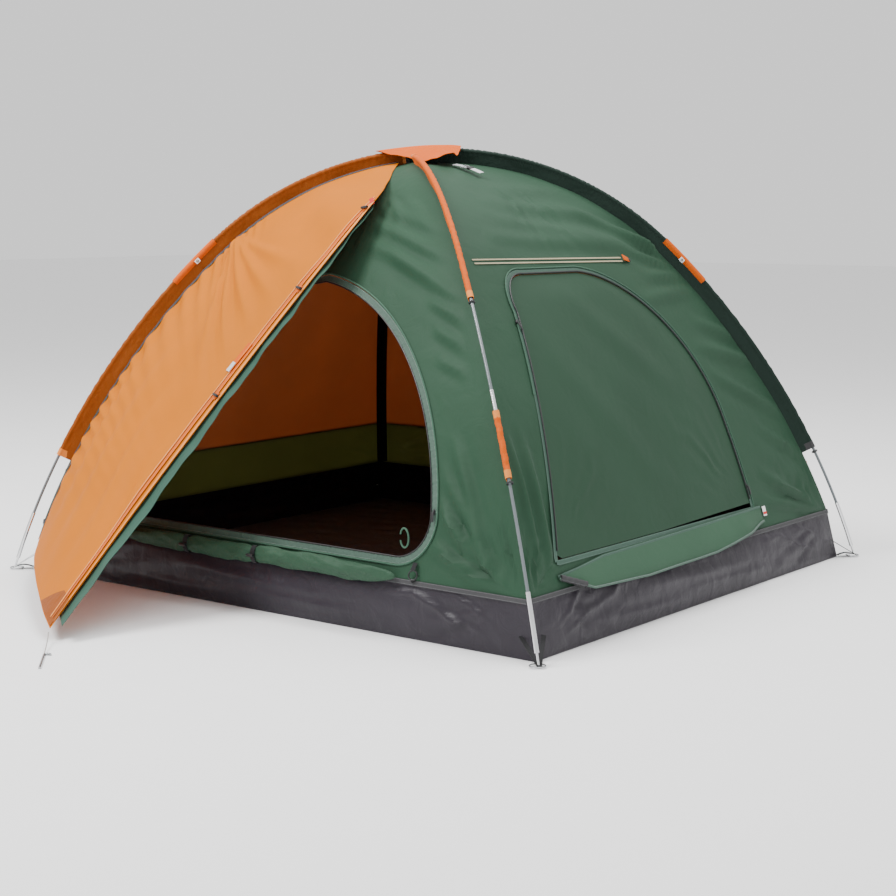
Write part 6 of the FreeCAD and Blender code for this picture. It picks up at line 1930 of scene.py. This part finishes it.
        patch = lay_grid("wing_tip_patch", 24, 16, place, (0.13, 0.1), (0, -1, 0.2), 0.0009)
        dress(patch, wear[Finish.SLEEVE_ORANGE], Body.WING)
        red = self.on(0.035, 0.97, 0.004)[0]
        axes = np.array([unit(np.array([0.5, -0.3, -0.8])), [0.86, 0.3, 0.42], [0.2, -0.9, 0.3]])
        axes[1] = unit(np.cross(axes[2], axes[0]))
        axes[2] = np.cross(axes[0], axes[1])
        dress(block("wing_red_tab", (0.022, 0.013, 0.0016), red, axes, 0.0004), wear[Finish.RED_TAB],
              Body.TENT)

    def tip_cord(self) -> None:
        """The cord from the wing's tip to its peg."""
        spots = ((-0.164, -1.459, 0.026), (-0.116, -1.504, 0.012), (-0.069, -1.552, 0.0045))
        curve = bpy.data.curves.new("tip_cord_line", "CURVE")
        curve.dimensions = "3D"
        curve.bevel_depth, curve.bevel_resolution = 0.0014, 4
        curve.use_fill_caps = True
        spline = curve.splines.new("NURBS")
        spline.points.add(len(spots) - 1)
        for point, spot in zip(spline.points, spots):
            point.co = (*spot, 1.0)
        spline.order_u = 3
        spline.use_endpoint_u = True
        spline.resolution_u = 16
        line = bpy.data.objects.new("tip_cord_line", curve)
        bpy.context.scene.collection.objects.link(line)
        dress_curve(line, self.wardrobe[Finish.CORD], Body.WING, ["tip_cord"])
        length = sum(math.dist(a, b) for a, b in zip(spots, spots[1:]))
        spots[0]

    def build(self) -> None:
        """Make the wing."""
        self.tip_cord()
        self.cloth()
        self.joined_seam()
        self.edging()
        self.fittings()


def dress_curve(obj: bpy.types.Object, material: bpy.types.Material, body: Body,
                nodes: Sequence[str]) -> None:
    """Give a curve its finish and body."""
    obj.data.materials.append(material)
    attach(obj, body.value)
    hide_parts(*nodes)


# ------------------------------------------------------------------ poles, corners and small parts

@dataclass
class Corners:
    """Webbing and rings at the four feet, and finishes of the kept poles and fittings."""

    tent: Tent
    wardrobe: Wardrobe

    def kept(self) -> None:
        """New finishes for the nodes that stay as they are."""
        wear = self.wardrobe
        finishes = {"main_pole_section": Finish.POLE, "cross_pole_section": Finish.POLE,
                    "pole_ferrules": Finish.STEEL,
                    "pole_end_sleeves": Finish.STEEL, "shock_cords": Finish.CORD, "corner_rings": Finish.WIRE,
                    "tip_peg": Finish.WIRE, "lantern_loop": Finish.WEBBING}
        for obj in list(bpy.data.objects):
            for start, finish in finishes.items():
                if obj.name.startswith(start) and obj.type == "MESH":
                    obj.data.materials.clear()
                    obj.data.materials.append(wear[finish])

    def webbing(self) -> None:
        """Straps from each corner of the floor to its ring and pole foot."""
        tent, wear = self.tent, self.wardrobe
        first = True
        for pole, side in ((tent.main, -1), (tent.main, 1), (tent.cross, -1), (tent.cross, 1)):
            foot = pole.point(side, pole.end)
            out = unit(np.array([foot[0], foot[1], 0.0]))
            sign = (int(np.sign(foot[0])), int(np.sign(foot[1])))
            corner = np.array([sign[0] * (tent.half_width - 0.042), sign[1] * (tent.half_depth - 0.042),
                               0.006])
            label = "%s_%s" % ("left" if sign[0] < 0 else "right", "front" if sign[1] < 0 else "back")
            end = np.array([foot[0], foot[1], 0.005]) + out * 0.004
            share = np.linspace(0, 1, 14)
            path = mix(corner[None], end[None],
                       share) + np.array([[0, 0, 0.008]]) * np.sin(math.pi * share)[:, None]
            strap = lay_ribbon("corner_strap_" + label, path, np.tile([0, 0, 1.0], (14, 1)), 0.014, 0.0013)
            dress(strap, wear[Finish.WEBBING], Body.TENT,
                  ["corner_webbing"] if first else [])
            first = False
            high = corner + [0, 0, 0.055] - out * 0.030
            for index, spread in enumerate((-0.5, 0.5)):
                sideways = np.cross([0, 0, 1.0], out) * spread * 0.060
                route = mix((high + sideways)[None], end[None], share)
                wing = lay_ribbon("corner_gusset_%s_%d" % (label, index + 1), route,
                                  np.tile(unit(out + [0, 0, 0.9]), (14, 1)), 0.012, 0.0012)
                dress(wing, wear[Finish.WHITE_WEBBING if sign[0] < 0 else Finish.WEBBING], Body.TENT)

    def build(self) -> None:
        """Make the corners."""
        self.kept()
        self.webbing()


# ------------------------------------------------------------------ studio

@dataclass
class Studio:
    """The camera, a pale floor and soft light."""

    wardrobe: Wardrobe
    azimuth: float = math.radians(37.63)
    elevation: float = math.radians(7.62)
    distance: float = 5.6
    lens: float = 71.0

    def camera(self) -> None:
        """A camera in front of the doorway's right side, a little above."""
        right = Vector((math.cos(self.azimuth), math.sin(self.azimuth), 0.0))
        back = Vector((math.sin(self.azimuth) * math.cos(self.elevation),
                       -math.cos(self.azimuth) * math.cos(self.elevation), math.sin(self.elevation)))
        target = right * 0.019 + Vector((0.0, 0.0, 0.369))
        data = bpy.data.cameras.new("main_camera")
        data.lens, data.sensor_width = self.lens, 36.0
        data.dof.use_dof = False
        camera = bpy.data.objects.new("main_camera", data)
        camera.location = target + back * self.distance
        camera.rotation_euler = back.to_track_quat("Z", "Y").to_euler()
        bpy.context.scene.collection.objects.link(camera)
        bpy.context.scene.camera = camera

    def floor(self) -> None:
        """A pale ground."""
        deselect()
        bpy.ops.mesh.primitive_plane_add(size=60.0)
        ground = rename(bpy.context.active_object, "studio_floor")
        ground.data.materials.append(self.wardrobe[Finish.GROUND])

    def light(self) -> None:
        """An even pale sky and one large soft lamp from the front left."""
        world = bpy.data.worlds.new("studio_sky")
        bpy.context.scene.world = world
        world.use_nodes = True
        sky = world.node_tree.nodes["Background"]
        sky.inputs[0].default_value = (1.0, 1.0, 1.0, 1.0)
        sky.inputs[1].default_value = 1.05
        for name, spot, size, power in (("key_lamp", (-2.0, -3.6, 5.2), 2.2, 420.0),
                                        ("top_lamp", (0.8, 0.6, 5.0), 3.0, 260.0)):
            data = bpy.data.lights.new(name, "AREA")
            data.energy, data.size = power, size
            lamp = bpy.data.objects.new(name, data)
            lamp.location = spot
            lamp.rotation_euler = (Vector(spot) - Vector((0, 0, 0.5))).to_track_quat("Z", "Y").to_euler()
            bpy.context.scene.collection.objects.link(lamp)

    def build(self) -> None:
        """Make the studio."""
        self.floor()
        self.light()


def main() -> None:
    """Build the scene in order."""
    logging.basicConfig(level=logging.INFO, format="%(message)s")
    wardrobe = Wardrobe()
    studio = Studio(wardrobe)
    studio.camera()
    tent = Tent()
    for part in (Wing(tent, wardrobe), Sleeves(tent, wardrobe), Tub(tent, wardrobe), Canopy(tent, wardrobe),
                 Hub(tent, wardrobe), Doorway(tent, wardrobe), Hatch(tent, wardrobe),
                 Corners(tent, wardrobe), studio):
        part.build()
        log.info("%s built", type(part).__name__)


if __name__ == "__main__":
    main()
